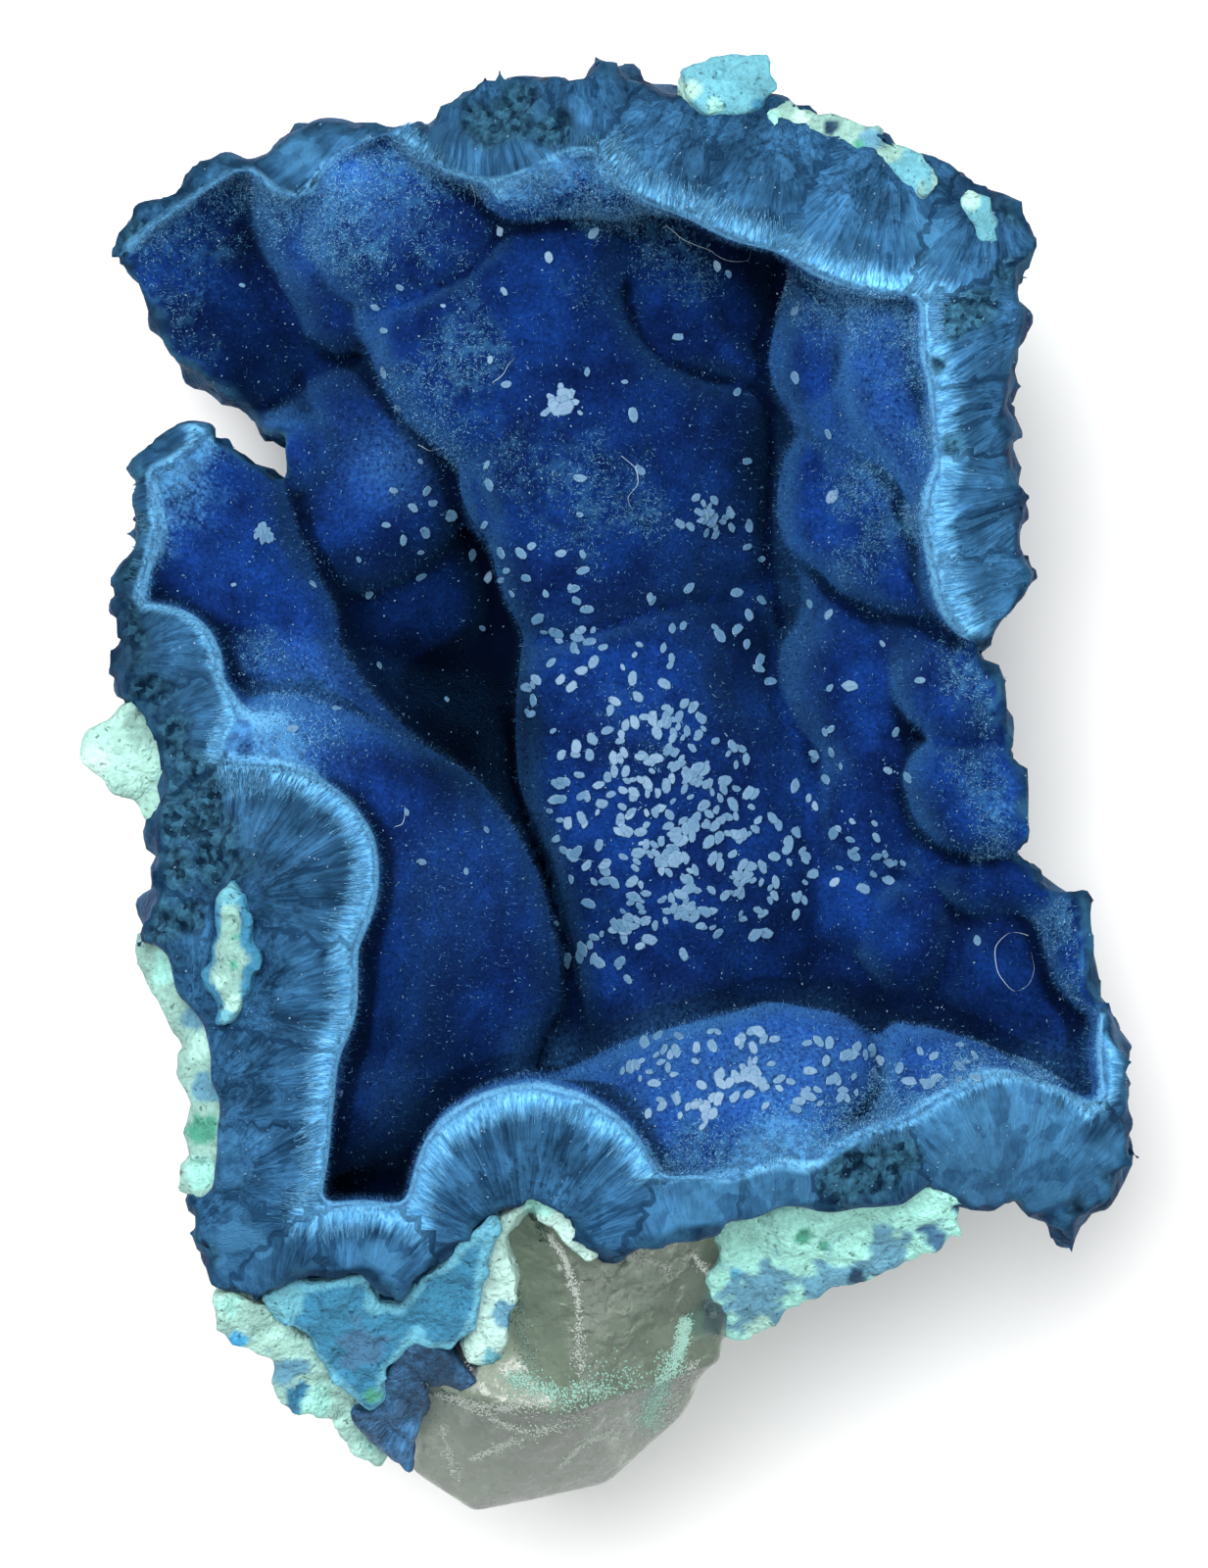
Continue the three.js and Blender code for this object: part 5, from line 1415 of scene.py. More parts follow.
# ---- the quartz ----
# The corners of its two crystals.
QUARTZ = {
    "point": [
        (-2.3, -15, 25.6), (-1, -25.6, 23.6), (-5.8, -15, 22.6), (-5.4, -25.4, 21), (6.4, -14.6, 22),
        (4.8, -23.6, 20.2), (-4.4, -13, 8), (-5, -25, 8.6), (5.4, -13, 8), (4.4, -23.6, 8.6),
    ],
    "block": [
        (-7.5, -24.2, 22.4), (-4.8, -25.2, 23.4), (-1, -25.7, 23.2), (4.4, -23.3, 20.2), (-7.9, -28.1, 17.6),
        (-5.2, -29.9, 16.6), (-2, -29.1, 17), (0.2, -28.7, 16.8), (3.4, -25.9, 17.6), (-8, -24.6, 8.4),
        (-5.2, -28.6, 7.6), (0, -27.6, 7.4), (4, -23.8, 8.4), (-6.8, -16, 20.4), (4, -16, 18.6), (-6, -14, 7),
        (4, -13.6, 7),
    ],
}
QUARTZ_RELIEF = (0.8, [(0.05, 2.2, 13)])
CRYSTAL_ROUND = 0.25    # how round the crystals' edges are
CRYSTALS_BLEND = 0.6    # and how round the hollow line where the two meet is
SMOKY_BLEND = 0.8       # how wide the change from the clear point to the smoky block is


def hull_planes(corners):
    """The faces of the corners' convex hull, as outward normals and distances."""
    shape = bmesh.new()
    for corner in corners:
        shape.verts.new(corner)
    bmesh.ops.convex_hull(shape, input=shape.verts)
    planes = {tuple(round(v, 3) for v in (*f.normal, f.normal.dot(f.verts[0].co))) for f in shape.faces}
    shape.free()
    middle = np.mean(corners, axis=0)
    return [p if np.dot(p[:3], middle) < p[3] else tuple(-v for v in p) for p in planes]


def crystal_field(grid, corners):
    """Distance to a crystal with flat faces, negative inside."""
    x, y, z = grid.planes()
    field = None
    for nx, ny, nz, reach in sorted(hull_planes(corners)):
        face = nx * x + ny * y + nz * z - reach
        field = face if field is None else smooth_max(field, face, CRYSTAL_ROUND)
    return field


def build_quartz():
    """The quartz, and a tree of its faces for what grows on it."""
    corners = np.array([c for crystal in QUARTZ.values() for c in crystal])
    ends = zip(corners.min(0), corners.max(0))
    grid = Grid(*[np.arange(low - 0.8, high + 0.9, SLAB_VOXEL) for low, high in ends])
    point, block = (crystal_field(grid, crystal) for crystal in QUARTZ.values())
    field = -smooth_max(-point, -block, CRYSTALS_BLEND)
    roughen(grid, field, QUARTZ_RELIEF)
    vertices, quads = meshed(grid, field.astype(np.float32))
    piece = make_mesh("quartz", vertices, quads, [quartz_look()])
    give_values(piece, "smoky", np.clip(grid.sample(block - point, vertices) / SMOKY_BLEND + 0.5, 0, 1))
    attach(piece, "root")
    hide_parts("quartz_cluster")
    return BVHTree.FromPolygons(vertices.tolist(), quads.tolist())


# Veils of tiny flakes grown on the quartz: the corners of each, how wide it is, how many flakes it
# has and their colour.
VEILS = [
    ([(-2.2, -18.4), (-1.5, -19.4), (-1, -21), (-0.9, -24)], 0.45, 800, "cloud"),
    ([(3.4, -21.9), (3.2, -23), (2.4, -24.6), (1.8, -26.2)], 1, 2200, "cloud_mint"),
    ([(3.6, -19.2), (4.6, -20.2)], 0.5, 160, "cloud_white"),
    ([(-3.8, -24.2), (-1.6, -25), (1.4, -24.3)], 1.6, 1000, "cloud_mint"),
    ([(-5.6, -25.4), (-3, -26.6), (-0.6, -25.8)], 0.6, 500, "cloud"),
    ([(-5.4, -27.6), (-3.4, -26.8)], 0.5, 300, "cloud"),
    ([(-1.8, -28), (-0.8, -27), (0.6, -26.4)], 0.4, 600, "cloud"),
    ([(-6.6, -26.2), (-6, -28.4)], 0.4, 250, "cloud"),
    ([(-3.6, -20), (-3, -23.8)], 0.7, 300, "cloud_green"),
    ([(0.2, -18.8), (2.8, -19.8)], 0.35, 260, "cloud"),
    ([(-6.8, -24.9), (-4.6, -25.5), (-2.6, -25.4)], 0.6, 600, "cloud"),
    ([(3.8, -23.6), (2.6, -26)], 0.8, 260, "cloud"),
]
FLAKE_SIZES = (0.03, 0.10)      # half of how wide the flakes are
FLAKE_STEEPEST = 0.2    # how far up a face looks that still holds flakes


def along_line(knots, at):
    """Points on the line through the knots, at numbers that count the knots passed."""
    knots = np.array(knots, float)
    return np.stack([np.interp(at, np.arange(len(knots)), knots[:, i]) for i in range(2)], axis=1)


def build_veils(tree):
    """Tiny flat flakes that lie on the quartz along the lines in VEILS."""
    rng = np.random.default_rng(17)
    shapes, colours = [], []
    for knots, width, count, name in VEILS:
        share = rng.random(count)
        wisps = 0.5 + 0.5 * noise(np.stack([share * 9, 0 * share, 0 * share], 1), 1.0, 51)
        flat = along_line(knots, share * (len(knots) - 1))
        for x, y in flat + rng.normal(0, 0.5, (count, 2)) * width * wisps[:, None]:
            place, normal = point_under(tree, x, y)
            if place is None or normal[2] < FLAKE_STEEPEST:
                continue
            size = rng.uniform(*FLAKE_SIZES)
            side = unit(np.cross(normal, rng.normal(0, 1, 3)))
            along = np.cross(normal, side)
            place = place + 0.01 * normal
            shapes.append([place + size * side, place - size * (0.6 * side + 0.7 * along),
                           place + size * (0.8 * along - 0.4 * side), place + 0.2 * size * normal])
            colours.append(COLOURS[name])
    starts = 4 * np.arange(len(shapes))[:, None, None]
    faces = np.array([(0, 2, 1), (0, 1, 3), (1, 2, 3), (2, 0, 3)])[None] + starts
    piece = make_mesh("quartz_veils", np.reshape(shapes, (-1, 3)), faces.reshape(-1, 3), [cloud])
    give_paint(piece, np.repeat(colours, 4, axis=0))
    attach(piece, "root")


# ---- hairs and grains ----
# Patches of the velvet that are frosted with loose curled fibres: x, y, radius, strength.
FROST = [
    (-8.6, 25.4, 2.4, 1), (-10.4, 23.6, 2.2, 1), (-9.8, 21.6, 1.8, 0.8), (-8, 23.6, 2.4, 0.6),
    (-11.6, 22.6, 1, 0.7), (-6, 17.6, 2, 0.65), (-7.2, 16.6, 1.4, 0.4), (-6, 14.4, 1.6, 0.35),
    (-0.6, 12, 2.6, 0.4), (1.2, 11, 1.4, 0.4), (-3, 13.2, 1.8, 0.3), (-17.6, 22.8, 2.2, 0.5),
    (-15.4, 24.2, 1.8, 0.5), (-18, 19.2, 1.4, 0.6), (-17, 17.6, 1.2, 0.3), (-13.2, 24.2, 1.7, 1),
    (-12.6, 25.4, 1, 0.7), (-2.4, 25, 1.6, 1), (-0.2, 24.2, 1.6, 1), (1.6, 23.6, 1.4, 0.8),
    (-4.6, 25.2, 1.2, 0.8), (2.4, 21.6, 1.4, 0.35), (3.8, 20.6, 1.2, 0.35), (9, 19.6, 1.4, 0.7),
    (11.2, 19.4, 1.6, 0.9), (12.6, 18.4, 1, 0.9), (12.4, 16.4, 1, 0.7), (13, 14.2, 1, 0.9),
    (10.6, 12, 1.3, 0.9), (11.4, 10.6, 1, 0.5), (10.6, 9.2, 1, 0.5), (12.8, 10.6, 0.8, 0.8),
    (15, 4.4, 1.5, 0.7), (15.8, 3, 1.2, 0.6), (15.4, 0, 1.4, 0.6), (16, -1.8, 1.2, 0.8), (19.5, -5.8, 1.5, 1),
    (20, -7.9, 1.2, 1), (4.4, -15.2, 1.8, 0.9), (7.2, -15, 1.8, 0.9), (9.6, -14.4, 1.6, 0.9),
    (12, -13.2, 1.6, 0.8), (14.6, -12.4, 1.6, 0.8), (17.4, -12.8, 1.4, 0.7), (-17.6, 12.4, 1.4, 0.3),
    (-18.2, 9.8, 1.2, 0.5), (-15.4, 14, 1, 0.3), (-12.6, 1.8, 1.6, 0.5), (-14, 5.4, 1.2, 0.4),
    (2.4, -15.6, 1.2, 0.7), (-1, 20, 1.2, 0.15), (1, 2, 2.4, 0.12),
]
FROST_LUMPS = [(0.5, 1.3, 31), (0.35, 0.5, 32)]

# Single pale grains: x, y, length.
GRAINS = [
    (-4.25, 22.6, 0.6), (-0.4, 22.5, 0.6), (-2.2, 21.5, 0.55), (-8.3, 20.3, 0.4), (-4, 20.1, 0.4),
    (-6.5, 19.5, 0.25), (-9.3, 19.5, 0.4), (-8.9, 18.5, 0.4), (3.1, 18.3, 0.5), (-0.65, 16.8, 0.4),
    (-4.6, 17.3, 0.4), (-3.95, 16.3, 0.45), (0.9, 16.4, 0.3), (-8.9, 16.8, 0.6), (-8.35, 15.4, 0.4),
    (1.5, 12.8, 0.55), (-4.7, 13, 0.4), (-4.6, 12.2, 0.6), (-4.8, 10.6, 0.4), (-7.5, 13.2, 0.3),
    (-7.25, 12, 0.5), (-7.8, 11.3, 0.5), (-7, 11.5, 0.45), (-6.3, 11, 0.75), (-8.6, 12, 0.4),
    (-8.9, 10.6, 0.4), (-7.3, 10.3, 0.65), (-8.2, 10, 0.5), (-7.5, 9.5, 0.35), (-7.5, 8.5, 0.5),
    (-5.4, 9.4, 0.55), (-10, 9.2, 0.3), (-9.6, 7.8, 0.5), (-3.3, 9.4, 0.6), (-2.9, 9.7, 0.45),
    (-1.7, 9.4, 0.5), (-0.8, 8.7, 0.55), (-3.1, 8.4, 0.5), (-3.9, 8.7, 0.4), (-13.9, 10.3, 0.5),
    (-14.2, 10.1, 0.35), (-13.6, 10, 0.35), (-11.9, 8.1, 0.4), (-15.1, 8.1, 0.25), (-14.8, 20.4, 0.3),
    (-1.1, 7.5, 0.5), (2, 7.5, 0.45), (7.9, 19.3, 0.5), (7.9, 16.6, 0.6), (9.25, 14.3, 0.45),
    (9.4, 11.7, 0.75), (3.8, 11.7, 0.5), (4.55, 11.6, 0.5), (5.2, 11.1, 0.6), (3.55, 10.5, 0.5),
    (4.6, 10.2, 0.5), (5.25, 10.5, 0.45), (5.9, 9.7, 0.45), (6.5, 9.2, 0.4), (3.5, 8, 0.6), (6.5, 7.5, 0.5),
    (1.9, 7.6, 0.45), (8.55, 7.35, 0.45), (4.7, 21.2, 0.5), (5.15, 20.9, 0.4), (9.3, 6.9, 0.5),
    (11.5, 5.7, 0.35), (13, 4.2, 0.5), (12, 2.1, 0.45), (-12.6, 2.2, 0.5), (-10.9, 3, 0.4),
    (-7.4, -3.2, 0.45), (-5.6, -3.6, 0.35), (-4.8, -1.9, 0.35), (15.4, -6.5, 0.5), (-9.2, 4.8, 0.35),
    (-5, 6.4, 0.35), (-6.4, 3.4, 0.3), (-10.7, -12.6, 0.3), (-8, -1.2, 0.35),
]

# Swarms of grains: x, y, half-sizes x and y, how many.
SWARMS = [
    (2.2, -1.4, 4.4, 4.6, 150), (2.8, 0, 2.8, 3.4, 50), (5.4, -3.6, 3.4, 2.8, 60), (9.2, -3.4, 3.2, 1.6, 26),
    (9.6, -0.6, 2.6, 2, 10), (0.4, 5, 3, 2.2, 22), (5, 5.6, 2.6, 2.6, 12), (1.6, -6.8, 2.8, 1.4, 16),
    (6, -11.6, 5.4, 1.8, 80), (12.8, -11.4, 3, 1.2, 20), (3.4, -13.6, 1.8, 0.8, 12), (3, 12, 5, 7, 8),
    (-2, 8, 3, 2, 12), (11, 1, 3, 4, 8), (-1, -6, 1.4, 2.2, 8), (-2.4, 2.4, 0.9, 3, 10),
]
# Rosettes, a plate with grains round it: x, y, width.
ROSETTES = [
    (-1.65, 15.5, 1.7), (4.3, 10.9, 1.3), (6, -11.9, 1.2), (3.4, -5.2, 1.1), (2.4, -3.2, 1), (0.9, -6, 0.9),
    (5.6, -4, 0.9), (-13.9, 10.2, 0.7), (3.6, 0.2, 0.9),
]
ROSETTE_PLATES = 6
ROSETTE_GRAINS = 9
DUST = 1500             # specks of the same mineral strewn over the velvet between these ends of x and y
DUST_X = (-18, 20)
DUST_Y = (-17, 27)
DUST_LENGTH = (0.05, 0.13)
SWARM_LENGTH = (0.3, 0.7)
GRAIN_SHADES = (0.5, 1.0)
GRAIN_TILT = 0.12       # how unevenly the grains lie
GRAIN_UPRIGHT = 0.8     # how much they keep level on a slope
GRAIN_LIFT = 0.1        # how far above the velvet they lie, on its nap
SMALL_GRAIN = 0.2       # the length up to which a grain has fewer corners
GRAIN_SIDES = 9
DUST_SIDES = 4

# How many hairs grow on the rim and on the velvet, and how many curls.
RIM_HAIRS = 36000
NAP_HAIRS = 64000
FROST_CURLS = 58000
ACROSS_HAIRS = (0.31, 0.17, 0.93)       # a direction that hardly any hair follows
# How long and wide the hairs are, how high the curls float, and the darkest and palest colours.
RIM_HAIR_LENGTH = (0.25, 0.85)
RIM_HAIR_WIDTH = (0.018, 0.036)
RIM_HAIR_TONES = ((0.05, 0.21, 0.43), (0.20, 0.51, 0.78))
NAP_LENGTH = (0.10, 0.26)
NAP_WIDTH = (0.022, 0.04)
NAP_TONES = ((0.002, 0.011, 0.07), (0.075, 0.25, 0.52))
CURL_LENGTH = (0.08, 0.26)
CURL_WIDTH = (0.014, 0.028)
CURL_HEIGHT = (0.03, 0.16)
CURL_TONES = ((0.02, 0.12, 0.30), (0.26, 0.56, 0.80))


def frost_at(points):
    """How frosted the velvet is at each point, from 0 to 1."""
    ragged = lumps(points, FROST_LUMPS)
    result = np.zeros(len(points))
    for *patch, strength in FROST:
        share = patch_share(points, patch, end=1.15, soft=0.9, ragged=ragged)
        result = np.maximum(result, strength * share)
    return result


def scattered(mesh, weights, count, rng):
    """Points spread over the mesh's quads, with the quad that each is in."""
    vertices, quads = mesh
    a, b, c, d = (vertices[quads[:, i]] for i in range(4))
    area = np.linalg.norm(np.cross(c - a, d - b), axis=1) * weights
    chosen = rng.choice(len(quads), count, p=area / area.sum())
    u, v = rng.random((2, count, 1))
    points = (a[chosen] * (1 - u) + b[chosen] * u) * (1 - v) + (d[chosen] * (1 - u) + c[chosen] * u) * v
    return points, chosen


def unit(vectors):
    return vectors / (np.linalg.norm(vectors, axis=-1, keepdims=True) + 1e-9)


def strands(paths, widths):
    """Vertices and triangles of thin three-sided hairs that follow the paths and run out to a point."""
    count, steps = paths.shape[:2]
    along = unit(paths[:, -1] - paths[:, 0])
    side = unit(np.cross(along, ACROSS_HAIRS))
    up = np.cross(side, along)
    turns = np.arange(3) * 2 * math.pi / 3
    ring = side[:, None] * np.cos(turns)[None, :, None] + up[:, None] * np.sin(turns)[None, :, None]
    taper = (1 - (np.arange(steps - 1) / (steps - 1)) ** 2) / 2
    body = paths[:, :-1, None] + ring[:, None] * (widths[:, None] * taper[None])[:, :, None, None]
    vertices = np.concatenate([body.reshape(count, -1, 3), paths[:, -1:]], axis=1)
    tip = 3 * (steps - 1)
    faces = []
    for step in range(steps - 1):
        for i in range(3):
            a, b = 3 * step + i, 3 * step + (i + 1) % 3
            faces += [(a, b, tip)] if step == steps - 2 else [(a, b, b + 3), (a, b + 3, a + 3)]
    starts = np.arange(count)[:, None, None] * (tip + 1)
    return vertices.reshape(-1, 3), (np.array(faces)[None] + starts).reshape(-1, 3), tip + 1


def make_hairs(name, paths, widths, colours):
    vertices, faces, each = strands(paths, widths)
    piece = make_mesh(name, vertices, faces, [hair])
    give_paint(piece, np.repeat(colours, each, axis=0))
    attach(piece, "root")


class Pelt:
    """The crust's mesh as something that hairs grow on."""

    def __init__(self, mesh, values):
        self.rng = np.random.default_rng(5)
        self.mesh = mesh
        self.values = values
        self.normals = vertex_normals(*mesh)

    def mean(self, name):
        """A stored value at the middle of each face."""
        return self.values[name][self.mesh[1]].mean(1)

    def sow(self, weights, count):
        """Chooses the hairs' roots: the points, the face of each and its first corner."""
        self.points, self.chosen = scattered(self.mesh, weights, count, self.rng)
        self.corner = self.mesh[1][self.chosen, 0]
        self.normal = self.normals[self.corner]

    def at(self, name):
        return self.values[name][self.corner]

    def leaning(self, directions, spread):
        """The directions, each turned a little at random."""
        return unit(directions + self.rng.normal(0, spread, self.points.shape))

    def drawn(self, ends):
        """A random number for each hair, as a column."""
        return self.rng.uniform(*ends, (len(self.points), 1))

    def widths(self, ends):
        return self.rng.uniform(*ends, len(self.points))

    def tones(self, ends, power):
        """Colours between a dark and a pale one, mostly dark."""
        return blend_colours(*ends, self.rng.random(len(self.points)) ** power)


def build_rim_hairs(pelt, inside):
    """Pale tips along the broken edge."""
    depth, broken, band = pelt.mean("depth"), pelt.mean("broken"), pelt.mean("band")
    edge = 1 + 2.5 * (depth < 0.3)
    weights = inside * (depth > -0.08) * (broken > -0.25) * np.clip((1.15 - band) / 0.9, 0, 1) * edge
    pelt.sow(weights, RIM_HAIRS)
    away = pelt.leaning(unit(pelt.points - pelt.at("fan")), 0.10)
    lift = pelt.normal * 0.03
    length = pelt.drawn(RIM_HAIR_LENGTH)
    dull = (2 / (1 + band_scale(pelt.points)) * (1 - 0.5 * np.clip(band[pelt.chosen] / 1.2, 0, 1)))[:, None]
    roots = pelt.points - away * length * 0.8 - lift * 0.5
    paths = np.stack([roots, pelt.points + away * length * 0.2 + lift], axis=1)
    make_hairs("rim_hairs", paths, pelt.widths(RIM_HAIR_WIDTH), pelt.tones(RIM_HAIR_TONES, 1.5) * dull)


def build_nap(pelt, whole):
    """The short hairs that stand on the velvet, paler towards its lip, with painted shade where they lie low
    or deep and the painted light and shade of the patches.
    """
    pelt.sow(whole, NAP_HAIRS)
    away = pelt.leaning(pelt.normal, 0.35)
    length = pelt.drawn(NAP_LENGTH)
    paths = np.stack([pelt.points - away * 0.05, pelt.points + away * length], axis=1)
    # painted shade where the hairs lie in recesses or deep down, times the painted light and shade
    low = np.maximum(pelt.at("recess") / 6, (-pelt.at("broken") - 10.5) / 6)
    lit = (1 - 0.94 * np.clip(low, 0, 1)) * pelt.at("shade")
    tone = pelt.tones(NAP_TONES, 5) * lit[:, None]
    lip = np.clip((pelt.mean("broken")[pelt.chosen] + 1.1) / 1.0, 0, 1)[:, None]
    lip = lip * pelt.rng.random((len(pelt.points), 1))
    make_hairs("velvet_nap", paths, pelt.widths(NAP_WIDTH), tone + (np.array(TIP_PALE) * 0.9 - tone) * lip)


def build_frost(pelt, whole):
    """Curled fibres on the frosted patches, and a few elsewhere."""
    pelt.sow(whole * (pelt.mean("frost") + 0.006), FROST_CURLS)
    away = pelt.leaning(pelt.normal * 0.45, 0.6)
    reach = away * pelt.drawn(CURL_LENGTH) / 2
    middle = pelt.points + pelt.normal * pelt.drawn(CURL_HEIGHT)
    # the curls take part of the painted light and shade
    tone = pelt.tones(CURL_TONES, 2.4) * pelt.at("shade")[:, None] ** 0.5
    paths = np.stack([middle - reach, middle + reach], axis=1)
    make_hairs("frost_curls", paths, pelt.widths(CURL_WIDTH), tone)


def build_hairs(mesh, values):
    pelt = Pelt(mesh, values)
    inside = pelt.mean("outer") < -0.5
    build_rim_hairs(pelt, inside)
    heights = mesh[0][mesh[1]][:, :, 2].mean(1)
    whole = inside * (pelt.mean("depth") < 0.12) * (pelt.mean("broken") < 0.1) * (heights > 6)
    build_nap(pelt, whole)
    build_frost(pelt, whole)


def point_under(tree, x, y):
    """Where a plumb line at x, y first meets the tree's surface, in millimetres, and the normal there."""
    place, normal, _, _ = tree.ray_cast((x, y, 60.0), (0, 0, -1))
    return (np.array(place), np.array(normal)) if place is not None else (None, None)


def oval(rng, sides):
    """A flat, lens-shaped grain of length 1 along x: rings of corners, then two poles."""
    turns = np.arange(sides) * 2 * math.pi / sides
    wobble = rng.uniform(0.86, 1.14, sides)
    rim = np.stack([np.cos(turns) / 2 * wobble, np.sin(turns) * 0.32 * wobble, np.zeros(sides)], axis=-1)
    low = rim * [0.92, 0.92, 1] - [0, 0, 0.05]
    high = rim * [0.86, 0.86, 1] + [0, 0, 0.03]
    vertices = np.concatenate([low, rim, high, [[0, 0, -0.05]], [[0, 0, 0.035]]])
    faces = []
    for i in range(sides):
        j = (i + 1) % sides
        for a, b in ((i, j), (sides + i, sides + j)):
            faces += [(a, b, b + sides), (a, b + sides, a + sides)]
        faces += [(3 * sides, j, i), (3 * sides + 1, 2 * sides + i, 2 * sides + j)]
    return vertices, np.array(faces), np.array(sides * [0.7] + sides * [1.0] + sides * [0.65] + [0.4, 0.4])


def grain_places(rng):
    """Every grain's x, y, length and turn: single ones, swarms, rosettes and dust."""
    places = [(x, y, length, rng.uniform(0, math.pi)) for x, y, length in GRAINS]
    for x, y, a, b, count in SWARMS:
        for _ in range(count):
            turn = rng.uniform(0, 2 * math.pi)
            out = math.sqrt(rng.random())
            places.append((x + a * out * math.cos(turn), y + b * out * math.sin(turn),
                           rng.uniform(*SWARM_LENGTH), rng.uniform(0, math.pi)))
    for x, y, width in ROSETTES:
        for i in range(ROSETTE_PLATES + ROSETTE_GRAINS):
            turn = i * 2 * math.pi / ROSETTE_PLATES + rng.uniform(-0.6, 0.6)
            plate = i < ROSETTE_PLATES
            out = width * (rng.uniform(0.05, 0.26) if plate else rng.uniform(0.25, 0.56))
            length = width * rng.uniform(0.28, 0.55) if plate else rng.uniform(0.26, 0.5)
            places.append((x + out * math.cos(turn), y + out * math.sin(turn), length, turn + plate * 1.5))
    ends = (DUST_X, DUST_Y, DUST_LENGTH, (0, math.pi))
    return places + [tuple(rng.uniform(*pair) for pair in ends) for _ in range(DUST)]


def joined(parts):
    """One mesh from several, each given as its vertices and faces."""
    vertices, faces = zip(*parts)
    starts = np.cumsum([0, *map(len, vertices)])
    return np.concatenate(vertices), np.concatenate([f + start for f, start in zip(faces, starts)])


def build_grains(tree):
    rng = np.random.default_rng(9)
    grains, shades = [], []
    for x, y, length, turn in grain_places(rng):
        place, normal = point_under(tree, x, y)
        tilt = rng.normal(0, GRAIN_TILT, 3)
        shade = rng.uniform(*GRAIN_SHADES)
        shape, sides, paleness = oval(rng, GRAIN_SIDES if length > SMALL_GRAIN else DUST_SIDES)
        if place is None:
            continue
        up = unit(normal + tilt + [0, 0, GRAIN_UPRIGHT])
        side = unit(np.cross(up, [math.cos(turn), math.sin(turn), 0.05]))
        along = np.cross(side, up)
        local = shape * length
        shape = place + local[:, :1] * along + local[:, 1:2] * side + (local[:, 2:] + GRAIN_LIFT) * up
        grains.append((shape, sides))
        shades.append(paleness * shade)
    piece = make_mesh("pale_grains", *joined(grains), [grain_look()])
    piece.data.shade_flat()
    give_values(piece, "shade", np.concatenate(shades))
    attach(piece, "root")


# Loose fibres of lint on the velvet: points x, y.
LINT = [
    [(-4.5, 16.4), (-4.1, 16.7), (-3.9, 17.1), (-3.6, 17.4)],
    [(2.6, 23), (3, 22.4), (3.6, 22.1), (4.4, 21.8), (5.2, 21.4), (5.8, 21.5), (6.2, 22.1)],
    [(17.5, -6.3), (16.7, -6.2), (16.1, -6.8), (16.2, -7.8), (16.8, -8.6), (17.4, -8.3), (17.7, -7.6),
     (17.5, -6.9)],
    [(-8.6, -1.8), (-8.3, -1.7), (-8.2, -1.3), (-8.2, -0.9)],
    [(-5.2, 24.6), (-4.9, 24), (-5.3, 23.6)],
    [(0.6, 13.4), (1.2, 12.9), (1.3, 12.2), (0.8, 11.7), (1.1, 11.1)],
    [(-7.4, 14.1), (-6.8, 13.8), (-6.2, 14)],
]
LINT_WIDTH = 0.035
LINT_LIFT = 0.3
LINT_TONE = (0.45, 0.58, 0.66)


def build_lint(tree):
    """Long thin fibres that rest on the velvet along the lines in LINT."""
    fibres = []
    for line in LINT:
        flat = smoothed_line(along_line(line, np.linspace(0, len(line) - 1, 8 * len(line))), 4)
        found = [point_under(tree, x, y) for x, y in flat]
        points = [place + LINT_LIFT * normal for place, normal in found if place is not None]
        path = smoothed_line(np.array(points), 6)
        fibres.append(strands(path[None], np.array([LINT_WIDTH]))[:2])
    vertices, faces = joined(fibres)
    piece = make_mesh("lint", vertices, faces, [hair])
    give_paint(piece, np.tile(LINT_TONE, (len(vertices), 1)))
    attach(piece, "root")


def smoothed_line(line, passes):
    for _ in range(passes):
        line = np.concatenate([line[:1], (line[:-2] + 2 * line[1:-1] + line[2:]) / 4, line[-1:]])
    return line


def grain_look():
    look = Look("grain", {"Roughness": 0.45, "Specular IOR Level": 0.5})
    shade = look.stored("shade")
    tone = look.mix(shade, GRAIN_DARK, GRAIN_PALE)
    speckle = look.scaled(look.noise(0.12), 0.35, 0.82)
    return look.done(look.dim(tone, speckle), look.bump(look.noise(0.15), 0.02))


# ---- putting it together ----
fibrous_rock = wedge_look()
mineral = mineral_look()
hair = painted_look(
    "hair", {"Roughness": 0.8, "Specular IOR Level": 0.1, "Specular Tint": (0.3, 0.6, 1.0, 1)}, 0.5)
cloud = painted_look("cloud", {"Roughness": 0.6, "Specular IOR Level": 0.3}, 0.4)

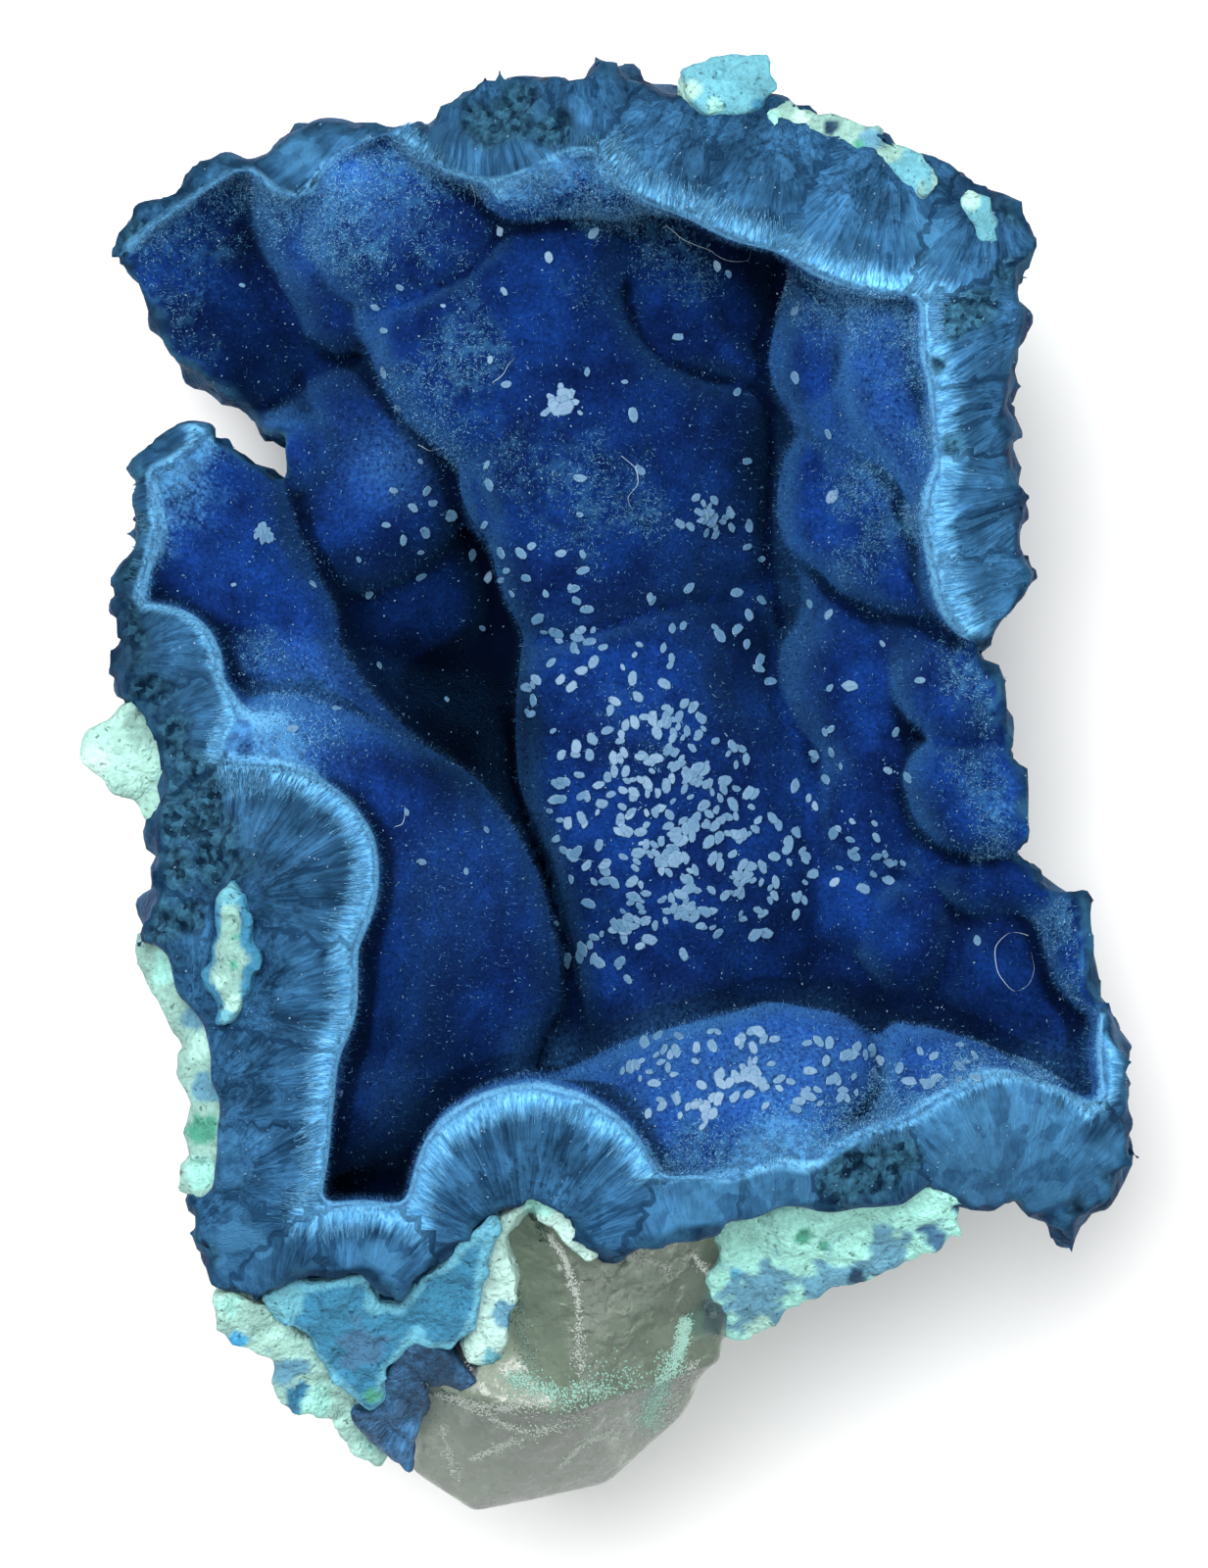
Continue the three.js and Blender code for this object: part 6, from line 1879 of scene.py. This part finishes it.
vertices, faces, values = build_crust()
values["frost"] = frost_at(vertices)
crust = make_mesh("crust", vertices, faces, [crust_look()])
for value_name, value in values.items():
    give_values(crust, value_name, value)
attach(crust, "root")
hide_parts("shattuckite_crust")
build_hairs((vertices, np.concatenate([faces, faces[:, 2:]], axis=1)), values)
velvet = BVHTree.FromPolygons(vertices.tolist(), faces.tolist())
build_grains(velvet)
build_lint(velvet)
for slab_name, slab_facts in SLABS.items():
    build_slab(slab_name, slab_facts)
build_veils(build_quartz())

# ---- the stage ----
FRAME_HEIGHT = 64.0     # what the picture's height covers at FRAME_LEVEL
FRAME_LEVEL = 20.0
FRAME_MIDDLE = (0.06, -0.04)
LENS = 900.0
SENSOR = 36.0
# Metres and watts from here on.
FLOOR_HALF = 2.0
FLOOR_TONES = ((0.86, 0.86, 0.86), (0.88, 0.88, 0.88))
LIGHTS = {              # place, size, power
    "key": ((-0.12, 0.14, 0.63), 0.46, 6.5),
    "fill": ((0.40, -0.1, 0.45), 0.4, 1.2),
}
SKY_LIGHT = 0.5


def make_camera():
    data = bpy.data.cameras.new("camera")
    data.lens = LENS
    data.sensor_width = SENSOR
    data.clip_end = 10
    camera = new_object("camera", data)
    away = FRAME_HEIGHT * LENS / SENSOR
    camera.location = [MM * value for value in (*FRAME_MIDDLE, FRAME_LEVEL + away)]
    bpy.context.scene.camera = camera


def make_floor():
    mesh = bpy.data.meshes.new("floor")
    corners = [(FLOOR_HALF * x, FLOOR_HALF * y, 0) for x, y in ((-1, -1), (1, -1), (1, 1), (-1, 1))]
    mesh.from_pydata(corners, [], [(0, 1, 2, 3)])
    look = Look("floor", {"Roughness": 0.8})
    mesh.materials.append(look.done(look.mix(look.noise(40), *FLOOR_TONES)))
    floor = new_object("floor", mesh)


def area_light(name, place, size, power):
    data = bpy.data.lights.new(name, "AREA")
    data.shape = "DISK"
    data.size = size
    data.energy = power
    light = new_object(name, data)
    light.location = place
    toward = -light.location
    light.rotation_euler = toward.to_track_quat("-Z", "Y").to_euler()


def make_sky():
    world = bpy.data.worlds.new("studio")
    world.use_nodes = True
    sky = world.node_tree.nodes["Background"].inputs
    sky["Color"].default_value = (1, 1, 1, 1)
    sky["Strength"].default_value = SKY_LIGHT
    bpy.context.scene.world = world


make_camera()
make_floor()
for light_name, light_facts in LIGHTS.items():
    area_light(light_name, *light_facts)
make_sky()
bpy.context.scene.view_settings.view_transform = "Standard"
